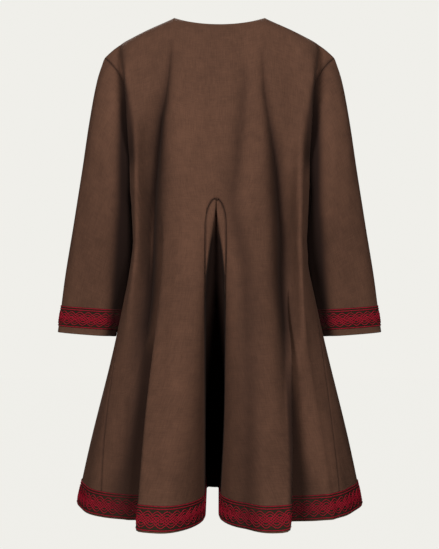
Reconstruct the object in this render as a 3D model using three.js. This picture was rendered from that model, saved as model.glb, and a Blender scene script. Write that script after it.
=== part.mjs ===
// A knee-length medieval tunic in the hollow form that it has when it is worn.
// Millimetres, +Z up. The origin is midway between the two neck points, where the shoulder seams
// meet the neckline and the wearer's shoulders carry the cloth. The front faces -Y and the back +Y.
// Heights are given as drops below the origin, and bearings in degrees round the body from the
// centre back, growing towards +X: 90 is the side at +X and 180 the centre front.

import * as THREE from "three";

// Driving dimensions of the cut.
const LENGTH = 1060; // neck point to hem
const WALL = 1.8; // thickness of the fulled wool cloth
const SEAM = 0.3; // gap between two pieces where they are sewn together
const NECK_HALF = 95; // centre to neck point
const ARMPIT = 330; // drop of the underarm point
// The braid: its height, thickness and gap off the cloth, and its height above the hem and the cuff.
const BRAID = { width: 48, stand: 0.3, thick: 0.8, hemMargin: 4, cuffMargin: 14.4 };

// The shoulder seam, from the neck point to the tip of the dropped shoulder.
const SHOULDER = [
  { x: 95, drop: 0 },
  { x: 114, drop: 5 },
  { x: 131, drop: 13 },
  { x: 151, drop: 22 },
  { x: 177, drop: 35 },
  { x: 195, drop: 44 },
  { x: 214, drop: 56.5 },
  { x: 236, drop: 74 },
  { x: 250, drop: 87 },
];

// The centre back slit and the gore that is sewn into it.
const SLIT_FOOT = 453; // drop at the foot of its rounded top
const SLIT_RISE = 60; // height of that rounded top
const SLIT_HALF = 21; // half its width at the foot

// The side gores grow from a point in the side seam to this half angle at the hem.
const SIDE_GORE = { top: 453, half: 25 };

// Plain body sections: half width, depth behind and before the side, and squareness of the corners.
const SECTIONS = [
  { drop: 330, half: 183, back: 118, front: 124, square: 2.5 },
  { drop: 396, half: 183, back: 120, front: 127, square: 2.45 },
  { drop: 480, half: 184.5, back: 124, front: 130, square: 2.35 },
  { drop: 526, half: 190.5, back: 129, front: 134, square: 2.3 },
  { drop: 613, half: 208, back: 142, front: 146, square: 2.2 },
  { drop: 722, half: 233, back: 160, front: 163, square: 2.12 },
  { drop: 918, half: 282, back: 188, front: 192, square: 2.04 },
  { drop: 1060, half: 317, back: 208, front: 214, square: 2 },
];

// The slit edges and the gore below the rounded top. centre and half place the two sewn edges, turn
// and sink say how far each lobe rolls inward before its edge, cleft is half the width of the pleat,
// roll how far the gore itself rolls in from the seam, and end where the pleat's deepest line lies.
const PLEAT = [
  { drop: 393, centre: 6.5, half: 1, turn: 34, sink: 1, cleft: 0.8, roll: 1, end: 117 },
  { drop: 420, centre: 7, half: 17, turn: 36, sink: 1.6, cleft: 1.2, roll: 5, end: 111 },
  { drop: 453, centre: 7.5, half: 21, turn: 38, sink: 3, cleft: 4.5, roll: 9, end: 100 },
  { drop: 517, centre: 8, half: 21.5, turn: 40, sink: 11, cleft: 14, roll: 9, end: 78 },
  { drop: 600, centre: 9, half: 21.5, turn: 44, sink: 27, cleft: 21, roll: 14, end: 50 },
  { drop: 831, centre: 10, half: 20.5, turn: 64, sink: 76, cleft: 20.1, roll: 26, end: -29 },
  { drop: 1060, centre: 15.5, half: 15.5, turn: 92, sink: 128, cleft: 15.1, roll: 32, end: -110 },
];
const TURN_RATIO = { 1: 1, [-1]: 1.12 }; // the lobe at -X rolls in from further out
const PLEAT_LIFT = 20; // the pleat's deep line is cut this much shorter than the hem round it

// The folds. top and hem are the bearings of a fold's line where it starts and at the hem, from is
// the drop where it starts and gain how late it grows. lift raises it (or sinks it, below zero) and
// half is its half width in degrees. tuck and slip turn it into an edge that overhangs its valley by
// slip on the side that leans says, and falls into it by tuck. fade is the drop by which an upper
// fold is gone again.
const FOLDS = [
  { name: "left lobe", top: 27, hem: 27, from: 380, gain: 1.35, lift: 46, half: 17 },
  { name: "left edge", top: 43, hem: 38.5, from: 430, gain: 1.0, lift: 0, half: 5, tuck: 9, slip: 18, leans: 1 },
  { name: "left valley", top: 50, hem: 46.5, from: 330, gain: 1.0, lift: -32, half: 8 },
  { name: "left side", top: 72, hem: 72, from: 520, gain: 1.2, lift: -14, half: 16 },
  { name: "right lobe", top: -25, hem: -24, from: 380, gain: 1.35, lift: 43, half: 16 },
  { name: "right edge", top: -42, hem: -33.8, from: 430, gain: 1.0, lift: 0, half: 4.6, tuck: 9, slip: 18, leans: -1 },
  { name: "right valley", top: -49, hem: -42, from: 330, gain: 1.0, lift: -32, half: 8 },
  { name: "right ridge", top: -60, hem: -46, from: 540, gain: 0.7, lift: 9, half: 3.6 },
  { name: "right side", top: -72, hem: -73, from: 520, gain: 1.2, lift: -14, half: 16 },
  { name: "front middle", top: 180, hem: 178, from: 420, gain: 1.2, lift: -26, half: 12 },
  { name: "front left lobe", top: 152, hem: 153, from: 400, gain: 1.3, lift: 24, half: 12 },
  { name: "front left edge", top: 136, hem: 138, from: 520, gain: 1.0, lift: 0, half: 5, tuck: 8, slip: 15, leans: -1 },
  { name: "front left valley", top: 131, hem: 131, from: 360, gain: 1.1, lift: -26, half: 8 },
  { name: "front right lobe", top: -151, hem: -154, from: 400, gain: 1.3, lift: 26, half: 12 },
  { name: "front right edge", top: -135, hem: -139, from: 520, gain: 1.0, lift: 0, half: 5, tuck: 8, slip: 15, leans: 1 },
  { name: "front right valley", top: -130, hem: -132, from: 360, gain: 1.1, lift: -26, half: 8 },
  { name: "left arm edge", top: 82, hem: 76, from: 160, gain: 1.0, lift: 10, half: 6.5, fade: 640 },
  { name: "right arm edge", top: -82, hem: -76, from: 160, gain: 1.0, lift: 10, half: 6.5, fade: 640 },
  { name: "left blade", top: 47, hem: 50, from: 60, gain: 1.0, lift: -9, half: 9, fade: 620 },
  { name: "right blade", top: -42, hem: -49, from: 60, gain: 1.0, lift: -9, half: 9, fade: 620 },
  { name: "right inner", top: -30, hem: -14, from: 90, gain: 1.0, lift: -6, half: 8, fade: 560 },
  { name: "front left chest", top: 128, hem: 132, from: 80, gain: 1.0, lift: -8, half: 10, fade: 600 },
  { name: "front right chest", top: -130, hem: -131, from: 80, gain: 1.0, lift: -8, half: 10, fade: 600 },
];

// The armhole seam from the shoulder tip round the back to the underarm point; the front mirrors it.
const ARMHOLE = [
  { share: 0, x: 250, y: 0, drop: 87 },
  { share: 0.14, x: 231, y: 25, drop: 107 },
  { share: 0.28, x: 210, y: 42, drop: 135 },
  { share: 0.42, x: 198, y: 49, drop: 168 },
  { share: 0.56, x: 191, y: 49, drop: 206 },
  { share: 0.7, x: 187, y: 41, drop: 250 },
  { share: 0.85, x: 184, y: 24, drop: 296 },
  { share: 1, x: 182, y: 0, drop: 330 },
];
const ARMHOLE_EDGE = { bearing: 82, reach: 8, lift: 20, half: 5.5 }; // the fold that hangs over the seam

// The sleeve: its outer and inner lines, where its middle lies from front to back, and half its depth.
const SLEEVE = [
  { share: 0, outX: 250, outDrop: 87, inX: 182, inDrop: 330, y: 0, deep: 52 },
  { share: 0.08, outX: 266, outDrop: 135, inX: 184.5, inDrop: 357, y: -2, deep: 57 },
  { share: 0.22, outX: 283, outDrop: 221, inX: 187.5, inDrop: 404, y: -6, deep: 60 },
  { share: 0.4, outX: 299.5, outDrop: 329, inX: 188.5, inDrop: 460, y: -12, deep: 58 },
  { share: 0.6, outX: 320.5, outDrop: 449, inX: 193.5, inDrop: 525, y: -22, deep: 51 },
  { share: 0.8, outX: 341.5, outDrop: 568, inX: 204, inDrop: 589, y: -33, deep: 42 },
  { share: 0.9, outX: 350, outDrop: 626, inX: 214, inDrop: 635, y: -38.5, deep: 38 },
  { share: 1, outX: 359, outDrop: 685, inX: 229.5, inDrop: 695, y: -44, deep: 34 },
];
const SLEEVE_CREASE = { turn: 148, half: 15, deep: 7, from: 0.3 }; // along the inner back of the arm
const SLEEVE_BLEND = 0.34; // share of the sleeve over which the armhole's shape dies away

// How finely the solids follow those shapes.
const UPPER_ROWS = [0, 0.08, 0.16, 0.25, 0.34, 0.43, 0.52, 0.61, 0.7, 0.78, 0.86, 0.93, 1];
const BRAID_FOOT = LENGTH - BRAID.hemMargin;
const BRAID_TOP = BRAID_FOOT - BRAID.width;
const LOWER_ROWS = [372, 412, 453, 492, 540, 600, 670, 745, 825, 905, 965, BRAID_TOP, BRAID_FOOT, LENGTH];
const CUFF = { top: 0.9, foot: 1 - (0.1 * BRAID.cuffMargin) / 60 }; // the last tenth is 60 mm long
const SLEEVE_ROWS = [0, 0.05, 0.11, 0.18, 0.26, 0.36, 0.47, 0.58, 0.69, 0.8, CUFF.top, CUFF.foot, 1];

const { abs, cos, exp, hypot, max, min, pow, PI, sign, sin, sqrt } = Math;
const rad = (degrees) => (degrees * PI) / 180;
const clamp = (value, low = 0, high = 1) => min(high, max(low, value));
const mix = (a, b, share) => a + (b - a) * share;
const ease = (share) => {
  const s = clamp(share);
  return s * s * (3 - 2 * s);
};

// A smooth curve through one column of a table, against its first column, with no overshoot.
function curve(table, name) {
  const key = Object.keys(table[0])[0];
  const xs = table.map((row) => row[key]);
  const ys = table.map((row) => row[name]);
  const rises = xs.slice(1).map((x, i) => (ys[i + 1] - ys[i]) / (x - xs[i]));
  const slopes = xs.map((_, i) => {
    const before = rises[i - 1] ?? rises[i];
    const after = rises[i] ?? rises[i - 1];
    return before * after <= 0 ? 0 : (2 * before * after) / (before + after);
  });
  return (x) => {
    const at = clamp(x, xs[0], xs.at(-1));
    const i = min(xs.length - 2, max(0, xs.findIndex((value) => value > at) - 1));
    const k = at >= xs.at(-1) ? xs.length - 2 : i;
    const wide = xs[k + 1] - xs[k];
    const t = (at - xs[k]) / wide;
    const a = (1 + 2 * t) * (1 - t) * (1 - t) * ys[k];
    const b = t * (1 - t) * (1 - t) * wide * slopes[k];
    const c = t * t * (3 - 2 * t) * ys[k + 1];
    const d = t * t * (t - 1) * wide * slopes[k + 1];
    return a + b + c + d;
  };
}

const section = Object.fromEntries(
  ["half", "back", "front", "square"].map((name) => [name, curve(SECTIONS, name)]),
);
const pleat = Object.fromEntries(
  ["centre", "half", "turn", "sink", "cleft", "roll", "end"].map((name) => [name, curve(PLEAT, name)]),
);
const armhole = Object.fromEntries(["x", "y", "drop"].map((name) => [name, curve(ARMHOLE, name)]));
const sleeve = Object.fromEntries(
  ["outX", "outDrop", "inX", "inDrop", "y", "deep"].map((name) => [name, curve(SLEEVE, name)]),
);

// A fold's profile across its edge: +1 just before it, -1 just past it.
const overhang = (u) => -sqrt(2 * Math.E) * u * exp(-u * u);

// What all the folds do at one place: lift off the plain section, and slip along it.
function foldAt(bearing, drop) {
  const sum = { lift: 0, slip: 0 };
  for (const fold of FOLDS) {
    const grown = clamp((drop - fold.from) / ((fold.fade ? ARMPIT : LENGTH) - fold.from));
    if (grown <= 0) continue;
    const along = clamp((drop - fold.from) / (LENGTH - fold.from));
    const faded = fold.fade ? 1 - ease((drop - ARMPIT) / (fold.fade - ARMPIT)) : 1;
    const gain = pow(grown, fold.gain) * faded;
    const line = mix(fold.top, fold.hem, fold.fade ? grown : along);
    const off = ((((bearing - line + 180) % 360) + 360) % 360) - 180;
    const u = off / fold.half;
    sum.lift += gain * fold.lift * exp(-u * u);
    if (fold.leans) {
      sum.lift += gain * fold.tuck * overhang(u * fold.leans);
      sum.slip += gain * fold.slip * overhang(u * fold.leans) * fold.leans;
    }
  }
  return sum;
}

// A point of the plain section: a rounded oblong, reached along a bearing.
function plain(bearing, drop) {
  const s = sin(rad(bearing));
  const c = cos(rad(bearing));
  const deep = c > 0 ? section.back(drop) : section.front(drop);
  const n = section.square(drop);
  const reach = pow(pow(abs(c) / deep, n) + pow(abs(s) / section.half(drop), n), -1 / n);
  return { reach, s, c };
}

// A point of the body below the armpit, with its folds.
function body(bearing, drop) {
  const fold = foldAt(bearing, drop);
  const turned = bearing + (fold.slip / plain(bearing, drop).reach) * (180 / PI);
  const { reach, s, c } = plain(turned, drop);
  return new THREE.Vector3((reach + fold.lift) * s, (reach + fold.lift) * c, -drop);
}

// The bearing at which the back of the body has this x.
function bearingAt(x, drop) {
  let low = -80;
  let high = 80;
  for (let i = 0; i < 26; i++) {
    const middle = (low + high) / 2;
    if (body(middle, drop).x < x) low = middle;
    else high = middle;
  }
  return (low + high) / 2;
}

// The shoulder line: from 0 at the centre to 1 at the neck point, a ridge that would join the two neck
// points if there were no neck hole, and from there to 2 at the tip, the shoulder seam.
const shoulderDrop = curve(SHOULDER, "drop");
const TIP = SHOULDER.at(-1);
function ridge(reach) {
  if (reach < 1) return { x: NECK_HALF * sin((reach * PI) / 2), drop: 7 * pow(cos((reach * PI) / 2), 2) };
  const x = mix(NECK_HALF, TIP.x, reach - 1);
  return { x, drop: shoulderDrop(x) };
}

// The upper body, from the neckline and shoulder seam down to the armpit. side is 1 behind and -1 in
// front, bearing is counted from that side's middle, and share runs from the top edge to the armpit.
const NECK_BEARING = 45; // the column that starts at the neck point
const NECK_CUT = { back: 24.5, front: 47 }; // how far round the profile the neckline is cut
const PROFILE = { back: 0.72, front: 0.9 }; // below 1 for a fuller back or chest
function upper(side, bearing, share) {
  const off = abs(bearing);
  const turn = bearing < 0 ? -1 : 1;
  const name = side > 0 ? "back" : "front";
  const inNeck = off < NECK_BEARING;
  const reach = inNeck ? off / NECK_BEARING : 1 + (off - NECK_BEARING) / (90 - NECK_BEARING);
  const top = ridge(reach);
  const cut = inNeck ? NECK_CUT[name] * cos((reach * PI) / 2) : 0;
  const angle = rad(mix(cut, 90, share));
  const round = PROFILE[name];
  const out = pow(sin(angle), round);
  const down = 1 - pow(max(0, cos(angle)), round);
  const inward = pow(share, 0.8);
  const whole = side > 0 ? bearing : 180 - bearing;
  const { reach: flat, s, c } = plain(whole, ARMPIT);
  const point = new THREE.Vector3(
    mix(turn * top.x, flat * s, inward),
    flat * c * out,
    -mix(top.drop, ARMPIT, down),
  );
  const lift = foldAt(whole, min(-point.z, ARMPIT)).lift * out;
  const spread = pow(share, 3);
  point.x += lift * s * spread;
  point.y += lift * mix(side, c, spread);
  // Near the side the surface is drawn to the armhole seam, and a fold hangs over that seam.
  const pull = pow(clamp((off - 56) / 34), 2.2);
  point.x += turn * (armhole.x(share) - mix(TIP.x, section.half(ARMPIT), inward)) * pull;
  point.y += side * armhole.y(share) * pull;
  point.z -= (armhole.drop(share) - mix(TIP.drop, ARMPIT, 1 - pow(cos(rad(share * 90)), round))) * pull;
  const u = (off - ARMHOLE_EDGE.bearing) / ARMHOLE_EDGE.half;
  const hang = exp(-u * u) * sin(PI * pow(share, 0.7)) * (1 - pow(pull, 4));
  point.x += turn * ARMHOLE_EDGE.reach * hang;
  point.y += side * ARMHOLE_EDGE.lift * hang;
  return point;
}

// ---------------------------------------------------------------------------
// Columns. A half panel is crossed by a column number from its middle to its side.

const ARCH = 3; // columns 0 to 3 end on the slit's rounded top
const CREST = 9; // columns 3 to 9 roll from the slit's edge up to the lobe's crest
const EDGE = 12; // then the lobe, its overhanging edge, and the valley behind it
const VALLEY = 18;
const SIDE = 23; // and the side

const archAngle = (column) => rad(90 * (1 - min(column, ARCH) / ARCH));
const goreHalf = (drop) => SIDE_GORE.half * clamp((drop - SIDE_GORE.top) / (LENGTH - SIDE_GORE.top));

// The side edge of a panel, as degrees from that panel's middle.
const sideEdge = (drop) => 90 - goreHalf(drop);

// Knots between the crest of the lobe and the side edge, in degrees; they part below the yoke.
const YOKE_KNOTS = { crest: 28, edge: 37, valley: 53 };
const LOBE_KNOTS = {
  1: { edge: 37, valley: 53 },
  [-1]: { edge: 33, valley: 50 },
};
const knot = (turn, name, drop) =>
  mix(YOKE_KNOTS[name], LOBE_KNOTS[turn][name], ease((drop - 160) / (SLIT_FOOT - 160)));

// The bearing of a column above the slit, where the panel is whole.
function wholeBearing(turn, column, drop) {
  const bent = ease((drop - 230) / (SLIT_FOOT - 230));
  if (column <= CREST) return mix((turn * YOKE_KNOTS.crest * column) / CREST, bentBearing(turn, column), bent);
  const crest = mix(YOKE_KNOTS.crest, abs(bentBearing(turn, CREST)), bent);
  return turn * between(column, crest, knot(turn, "edge", drop), knot(turn, "valley", drop), sideEdge(drop));
}

function between(column, crest, edge, valley, side) {
  if (column <= EDGE) return mix(crest, edge, (column - CREST) / (EDGE - CREST));
  if (column <= VALLEY) return mix(edge, valley, (column - EDGE) / (VALLEY - EDGE));
  return mix(valley, side, (column - VALLEY) / (SIDE - VALLEY));
}

// The bearing of a middle column on the row that bends round the slit's top.
const bentCache = new Map();
function bentBearing(turn, column) {
  const key = turn * 1000 + column;
  if (!bentCache.has(key)) {
    const half = SLIT_HALF * cos(archAngle(column)) * turn;
    const roll = column <= ARCH ? 0 : rollOut(column) * rollTurn(turn, SLIT_FOOT) * turn;
    bentCache.set(key, bearingAt(pleat.centre(SLIT_FOOT) + half + roll, SLIT_FOOT));
  }
  return bentCache.get(key);
}

const rollAngle = (column) => rad((90 * (column - ARCH)) / (CREST - ARCH));
const rollOut = (column) => 1 - cos(rollAngle(column));
const rollTurn = (turn, drop) => pleat.turn(drop) * TURN_RATIO[turn];

// A point of the back panel. row is a share of the upper body up to 1, and a drop past that.
function backPoint(turn, column, row) {
  if (row <= 1) {
    const even = wholeBearing(turn, column, mix(60, ARMPIT, row));
    const point = upper(1, column >= SIDE ? turn * 90 : even, row);
    point.z += archRise(column) * 0.25 * pow(row, 6);
    return point;
  }
  if (row < SLIT_FOOT) {
    const near = (row - ARMPIT) / (SLIT_FOOT - ARMPIT);
    const drop = row - archRise(column) * mix(0.25, 1, pow(near, 1.3));
    const point = body(wholeBearing(turn, column, row), max(ARMPIT, drop));
    point.z = -drop;
    return sunk(point, turn, column, near);
  }
  return lobePoint(turn, column, row);
}

const archRise = (column) => (column < ARCH ? SLIT_RISE * sin(archAngle(column)) : 0);

// The shallow roll towards the slit's edge dies away above the slit.
function sunk(point, turn, column, near) {
  if (column < CREST) {
    const roll = column <= ARCH ? 1 : 1 - sin(rollAngle(column));
    point.y -= pleat.sink(SLIT_FOOT) * roll * pow(near, 4);
  }
  return point;
}

// Below the slit's top: the roll into the pleat, then the lobe, its edge, the valley and the side.
function lobePoint(turn, column, drop) {
  const middle = pleat.centre(drop);
  if (column <= CREST) {
    const edge = middle + turn * pleatHalf(column, drop);
    const x = edge + turn * rollOut(max(column, ARCH)) * rollTurn(turn, drop);
    const rise = column <= ARCH ? archRise(column) : 0;
    const point = body(bearingAt(x, drop), drop - rise);
    point.z = -(drop - rise);
    point.y -= pleat.sink(drop) * (1 - sin(rollAngle(max(column, ARCH))));
    return point;
  }
  const crest = abs(bearingAt(middle + turn * (pleat.half(drop) + rollTurn(turn, drop)), drop));
  const bearing = between(column, crest, knot(turn, "edge", drop), knot(turn, "valley", drop), sideEdge(drop));
  return body(turn * bearing, drop);
}

const pleatHalf = (column, drop) => (column < ARCH ? SLIT_HALF * cos(archAngle(column)) : pleat.half(drop));

// The front panel has no slit, so its columns run evenly to its own fold edges.
const FRONT = { crest: 6, edge: 9, valley: 15, side: 20 };
function frontPoint(turn, column, row) {
  const { crest, edge, valley } = YOKE_KNOTS;
  const side = sideEdge(row <= 1 ? ARMPIT : row);
  let off;
  if (column <= FRONT.crest) off = (crest * column) / FRONT.crest;
  else if (column <= FRONT.edge) off = mix(crest, edge, (column - FRONT.crest) / (FRONT.edge - FRONT.crest));
  else if (column <= FRONT.valley) off = mix(edge, valley, (column - FRONT.edge) / (FRONT.valley - FRONT.edge));
  else off = mix(valley, side, (column - FRONT.valley) / (FRONT.side - FRONT.valley));
  if (row <= 1) return upper(-1, turn * (column >= FRONT.side ? 90 : off), row);
  return body(180 - turn * off, row);
}

// A point of the side gore; across runs from -1 at its back seam to 1 at its front seam.
function sideGorePoint(turn, across, drop) {
  return body(turn * (90 + across * goreHalf(drop)), drop);
}

// A point of the centre back gore. across runs from -1 at one seam through 0 at the pleat's deepest
// line to 1 at the other seam.
const GORE_ROLL = 0.74; // past this share the gore rolls in from its seam
const GORE_END = 0.16; // within this share it turns round the deepest line
function gorePoint(across, drop) {
  const turn = across < 0 ? -1 : 1;
  const m = abs(across);
  const inArch = drop < SLIT_FOOT;
  const low = (drop - (SLIT_FOOT - SLIT_RISE)) / SLIT_RISE;
  const half = inArch ? SLIT_HALF * sqrt(max(0, 1 - (1 - low) * (1 - low))) : pleat.half(drop);
  const cleft = pleat.cleft(drop);
  const seamX = pleat.centre(drop) + turn * half;
  const sink = pleat.sink(max(drop, SLIT_FOOT)) * (inArch ? clamp(low) : 1);
  const seamY = body(bearingAt(seamX, drop), drop).y - sink;
  const roll = min(pleat.roll(drop), 0.45 * max(1.5, seamY - pleat.end(drop)));
  const end = min(pleat.end(drop), seamY - roll - 1.2);
  const rounded = min(cleft, 0.8 * (seamY - roll - end));
  let x;
  let y;
  if (m >= GORE_ROLL) {
    const angle = rad((90 * (m - GORE_ROLL)) / (1 - GORE_ROLL));
    x = cleft + (half - cleft) * (1 - cos(angle));
    y = seamY - roll * (1 - sin(angle));
  } else if (m >= GORE_END) {
    x = cleft;
    y = mix(end + rounded, seamY - roll, (m - GORE_END) / (GORE_ROLL - GORE_END));
  } else {
    const angle = rad((90 * m) / GORE_END);
    x = cleft * sin(angle);
    y = end + rounded * (1 - cos(angle));
  }
  const lift = PLEAT_LIFT * pow(1 - min(1, m / GORE_ROLL), 1.4) * ease((drop - 880) / (LENGTH - 880));
  return new THREE.Vector3(pleat.centre(drop) + turn * x, y, -drop + lift);
}

// A point of the sleeve. turnBy is the angle round it: 0 on the outer line, 90 behind, 180 inside
// the arm and 270 in front.
function sleevePoint(turn, turnBy, share) {
  const oval = (at) => {
    const c = cos(rad(turnBy));
    const s = sin(rad(turnBy));
    const out = { x: sleeve.outX(at), drop: sleeve.outDrop(at) };
    const inner = { x: sleeve.inX(at), drop: sleeve.inDrop(at) };
    const grown = clamp((at - SLEEVE_CREASE.from) / (1 - SLEEVE_CREASE.from));
    const u = (turnBy - SLEEVE_CREASE.turn) / SLEEVE_CREASE.half;
    const crease = SLEEVE_CREASE.deep * pow(grown, 0.8) * exp(-u * u);
    return new THREE.Vector3(
      mix(inner.x, out.x, (1 + c) / 2) + crease * 0.35,
      sleeve.y(at) + sleeve.deep(at) * s - crease,
      -mix(inner.drop, out.drop, (1 + c) / 2),
    );
  };
  const point = oval(share);
  const blend = pow(clamp(1 - share / SLEEVE_BLEND), 2.4);
  if (blend > 0) {
    const along = turnBy <= 180 ? turnBy / 180 : (360 - turnBy) / 180;
    const seam = new THREE.Vector3(
      armhole.x(along),
      armhole.y(along) * (turnBy <= 180 ? 1 : -1),
      -armhole.drop(along),
    );
    point.add(seam.sub(oval(0)).multiplyScalar(blend));
  }
  point.x *= turn;
  return point;
}

// ---------------------------------------------------------------------------
// Cloth. A piece is a grid of points on its outer face. Rows run down and columns round the body;
// backward says that the columns run the other way, so that the outer face still faces out. keep
// says which cells are cloth, and wrap joins the last column to the first.

function makeGrid(points, { backward = false, wrap = false, keep = () => true } = {}) {
  const rows = points.length - 1;
  const spans = points[0].length - (wrap ? 0 : 1);
  const there = (i, j) => {
    const k = wrap ? (j + spans) % spans : j;
    return i >= 0 && i < rows && k >= 0 && k < spans && keep(i, k);
  };
  const cells = [];
  for (let i = 0; i < rows; i++) {
    for (let j = 0; j < spans; j++) {
      if (!there(i, j)) continue;
      const k = (j + 1) % points[0].length;
      cells.push([[i, j], [i, k], [i + 1, k], [i + 1, j]]);
    }
  }
  const faces = points.map((row) => row.map(() => []));
  for (const cell of cells) {
    const [a, b, c, d] = cell.map(([i, j]) => points[i][j]);
    const normal = c.clone().sub(a).cross(d.clone().sub(b)).normalize();
    if (backward) normal.negate();
    const middle = a.clone().add(b).add(c).add(d).multiplyScalar(0.25);
    cell.forEach(([i, j], n) => {
      const [before, after] = [cell[(n + 3) % 4], cell[(n + 1) % 4]].map(([k, l]) =>
        points[k][l].clone().sub(points[i][j]),
      );
      const pointed = before.length() < 1e-6 || after.length() < 1e-6;
      faces[i][j].push({ normal, weight: pointed ? 0.3 : before.angleTo(after), middle });
    });
  }
  return { points, faces, there, backward, rows, spans };
}

// The direction in which the wall is added at a point, and how far per unit of thickness, so that
// every face that meets there gets about the same thickness.
function wallDirection(faces) {
  const mean = new THREE.Vector3();
  for (const face of faces) mean.addScaledVector(face.normal, face.weight);
  mean.normalize();
  const total = faces.reduce((sum, face) => sum + face.weight, 0);
  const facing = faces.reduce((sum, face) => sum + face.weight * face.normal.dot(mean), 0) / total;
  return mean.multiplyScalar(1 / max(0.6, facing));
}

// Sews grids together along seams. Each seam point is a list of [grid, row, column] that lie at one
// place. The walls are mitred there, and each piece is drawn back from the seam by half the gap.
const OPEN_BEND = 0.1; // pieces folded back more sharply than this hang side by side, unmitred
function sew(grids, seamPoints) {
  for (const grid of grids) {
    grid.nominal = grid.points.map((row) => row.map((p) => p.clone()));
    grid.walls = grid.faces.map((row) => row.map((faces) => (faces.length ? wallDirection(faces) : null)));
    grid.seams = grid.points.map((row) => row.map(() => false));
  }
  for (const members of seamPoints) for (const [grid, i, j] of members) grid.seams[i][j] = true;
  for (const members of seamPoints) {
    const own = members.map(([grid, i, j]) => grid.walls[i][j].clone().normalize());
    const mitred = members.map((_, n) => own.every((other) => other.dot(own[n]) > OPEN_BEND || other === own[n]));
    const shared = members.filter((_, n) => mitred[n]);
    const pairs = shared.length > 1 ? shared : [];
    const wall = pairs.length && wallDirection(pairs.flatMap(([grid, i, j]) => grid.faces[i][j]));
    members.forEach((member, n) => {
      const [grid, i, j] = member;
      const at = grid.nominal[i][j];
      const mates = members.filter(([other]) => other === grid);
      const into = new THREE.Vector3();
      for (const [, k, l] of mates)
        for (const face of grid.faces[k][l]) into.add(face.middle.clone().sub(at).normalize());
      const along = mates.length > 1 ? new THREE.Vector3() : seamTangent(grid, i, j);
      into.addScaledVector(along, -into.dot(along)).normalize();
      grid.points[i][j] = at.clone().addScaledVector(into, SEAM * 0.58);
      if (pairs.includes(member)) grid.walls[i][j] = wall.clone();
      else if (members.length > 1) grid.points[i][j].addScaledVector(own[n], -SEAM / 2);
    });
  }
}

function seamTangent(grid, i, j) {
  const columns = grid.points[0].length;
  const wraps = grid.spans === columns;
  const beside = [];
  for (const [k, l] of [
    [i - 1, j],
    [i, j - 1],
    [i, j + 1],
    [i + 1, j],
  ]) {
    const column = wraps ? (l + columns) % columns : l;
    if (grid.seams[k]?.[column]) beside.push(grid.nominal[k][column]);
  }
  if (!beside.length) return new THREE.Vector3();
  const from = beside.length > 1 ? beside[0] : grid.nominal[i][j];
  return from.clone().sub(beside.at(-1)).normalize();
}

// The closed solid between two faces of a grid, near and far along its wall directions.
function solidOf(grid, outer, inner) {
  const positions = [];
  const triangle = (a, b, c) => {
    if (a === b || b === c || c === a) return;
    if (a.distanceTo(b) < 1e-6 || b.distanceTo(c) < 1e-6 || c.distanceTo(a) < 1e-6) return;
    const order = grid.backward ? [a, c, b] : [a, b, c];
    for (const p of order) positions.push(p.x, p.y, p.z);
  };
  const quad = (a, b, c, d) => {
    if (a.distanceTo(c) <= b.distanceTo(d)) {
      triangle(a, b, c);
      triangle(a, c, d);
    } else {
      triangle(a, b, d);
      triangle(b, c, d);
    }
  };
  const shape = grid.nominal ?? grid.points;
  const columns = shape[0].length;
  for (let i = 0; i < grid.rows; i++) {
    for (let j = 0; j < grid.spans; j++) {
      if (!grid.there(i, j)) continue;
      const k = (j + 1) % columns;
      const o = [outer[i][j], outer[i][k], outer[i + 1][k], outer[i + 1][j]];
      const n = [inner[i][j], inner[i][k], inner[i + 1][k], inner[i + 1][j]];
      // Both faces are cut along one diagonal, as is anything that lies on them.
      const [a, b, c, d] = [shape[i][j], shape[i][k], shape[i + 1][k], shape[i + 1][j]];
      const across = a.distanceTo(c) <= b.distanceTo(d);
      if (across) {
        triangle(o[0], o[1], o[2]);
        triangle(o[0], o[2], o[3]);
        triangle(n[0], n[2], n[1]);
        triangle(n[0], n[3], n[2]);
      } else {
        triangle(o[0], o[1], o[3]);
        triangle(o[1], o[2], o[3]);
        triangle(n[0], n[3], n[1]);
        triangle(n[1], n[3], n[2]);
      }
      if (!grid.there(i - 1, j)) quad(o[1], o[0], n[0], n[1]);
      if (!grid.there(i + 1, j)) quad(o[3], o[2], n[2], n[3]);
      if (!grid.there(i, j - 1)) quad(o[0], o[3], n[3], n[0]);
      if (!grid.there(i, j + 1)) quad(o[2], o[1], n[1], n[2]);
    }
  }
  const geometry = new THREE.BufferGeometry();
  geometry.setAttribute("position", new THREE.Float32BufferAttribute(positions, 3));
  geometry.computeVertexNormals();
  return geometry;
}

const wallSolid = (grid) =>
  solidOf(
    grid,
    grid.points,
    grid.points.map((row, i) => row.map((p, j) => grid.walls[i][j] && p.clone().addScaledVector(grid.walls[i][j], -WALL))),
  );

// ---------------------------------------------------------------------------
// The pieces.

const panelRows = [...UPPER_ROWS, ...LOWER_ROWS];
const armRow = UPPER_ROWS.length - 1; // the row through the underarm point
const footRow = panelRows.indexOf(SLIT_FOOT);
const braidRow = panelRows.indexOf(BRAID_TOP);
const columnsTo = (last) => Array.from({ length: 2 * last + 1 }, (_, n) => n - last);
const panelPoints = (pointAt, last) =>
  panelRows.map((row) => columnsTo(last).map((column) => pointAt(column < 0 ? -1 : 1, abs(column), row)));

const slit = (i, j) => i < footRow || j < SIDE - ARCH || j >= SIDE + ARCH;
const back = makeGrid(panelPoints(backPoint, SIDE), { keep: slit });
const front = makeGrid(panelPoints(frontPoint, FRONT.side), { backward: true });

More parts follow.
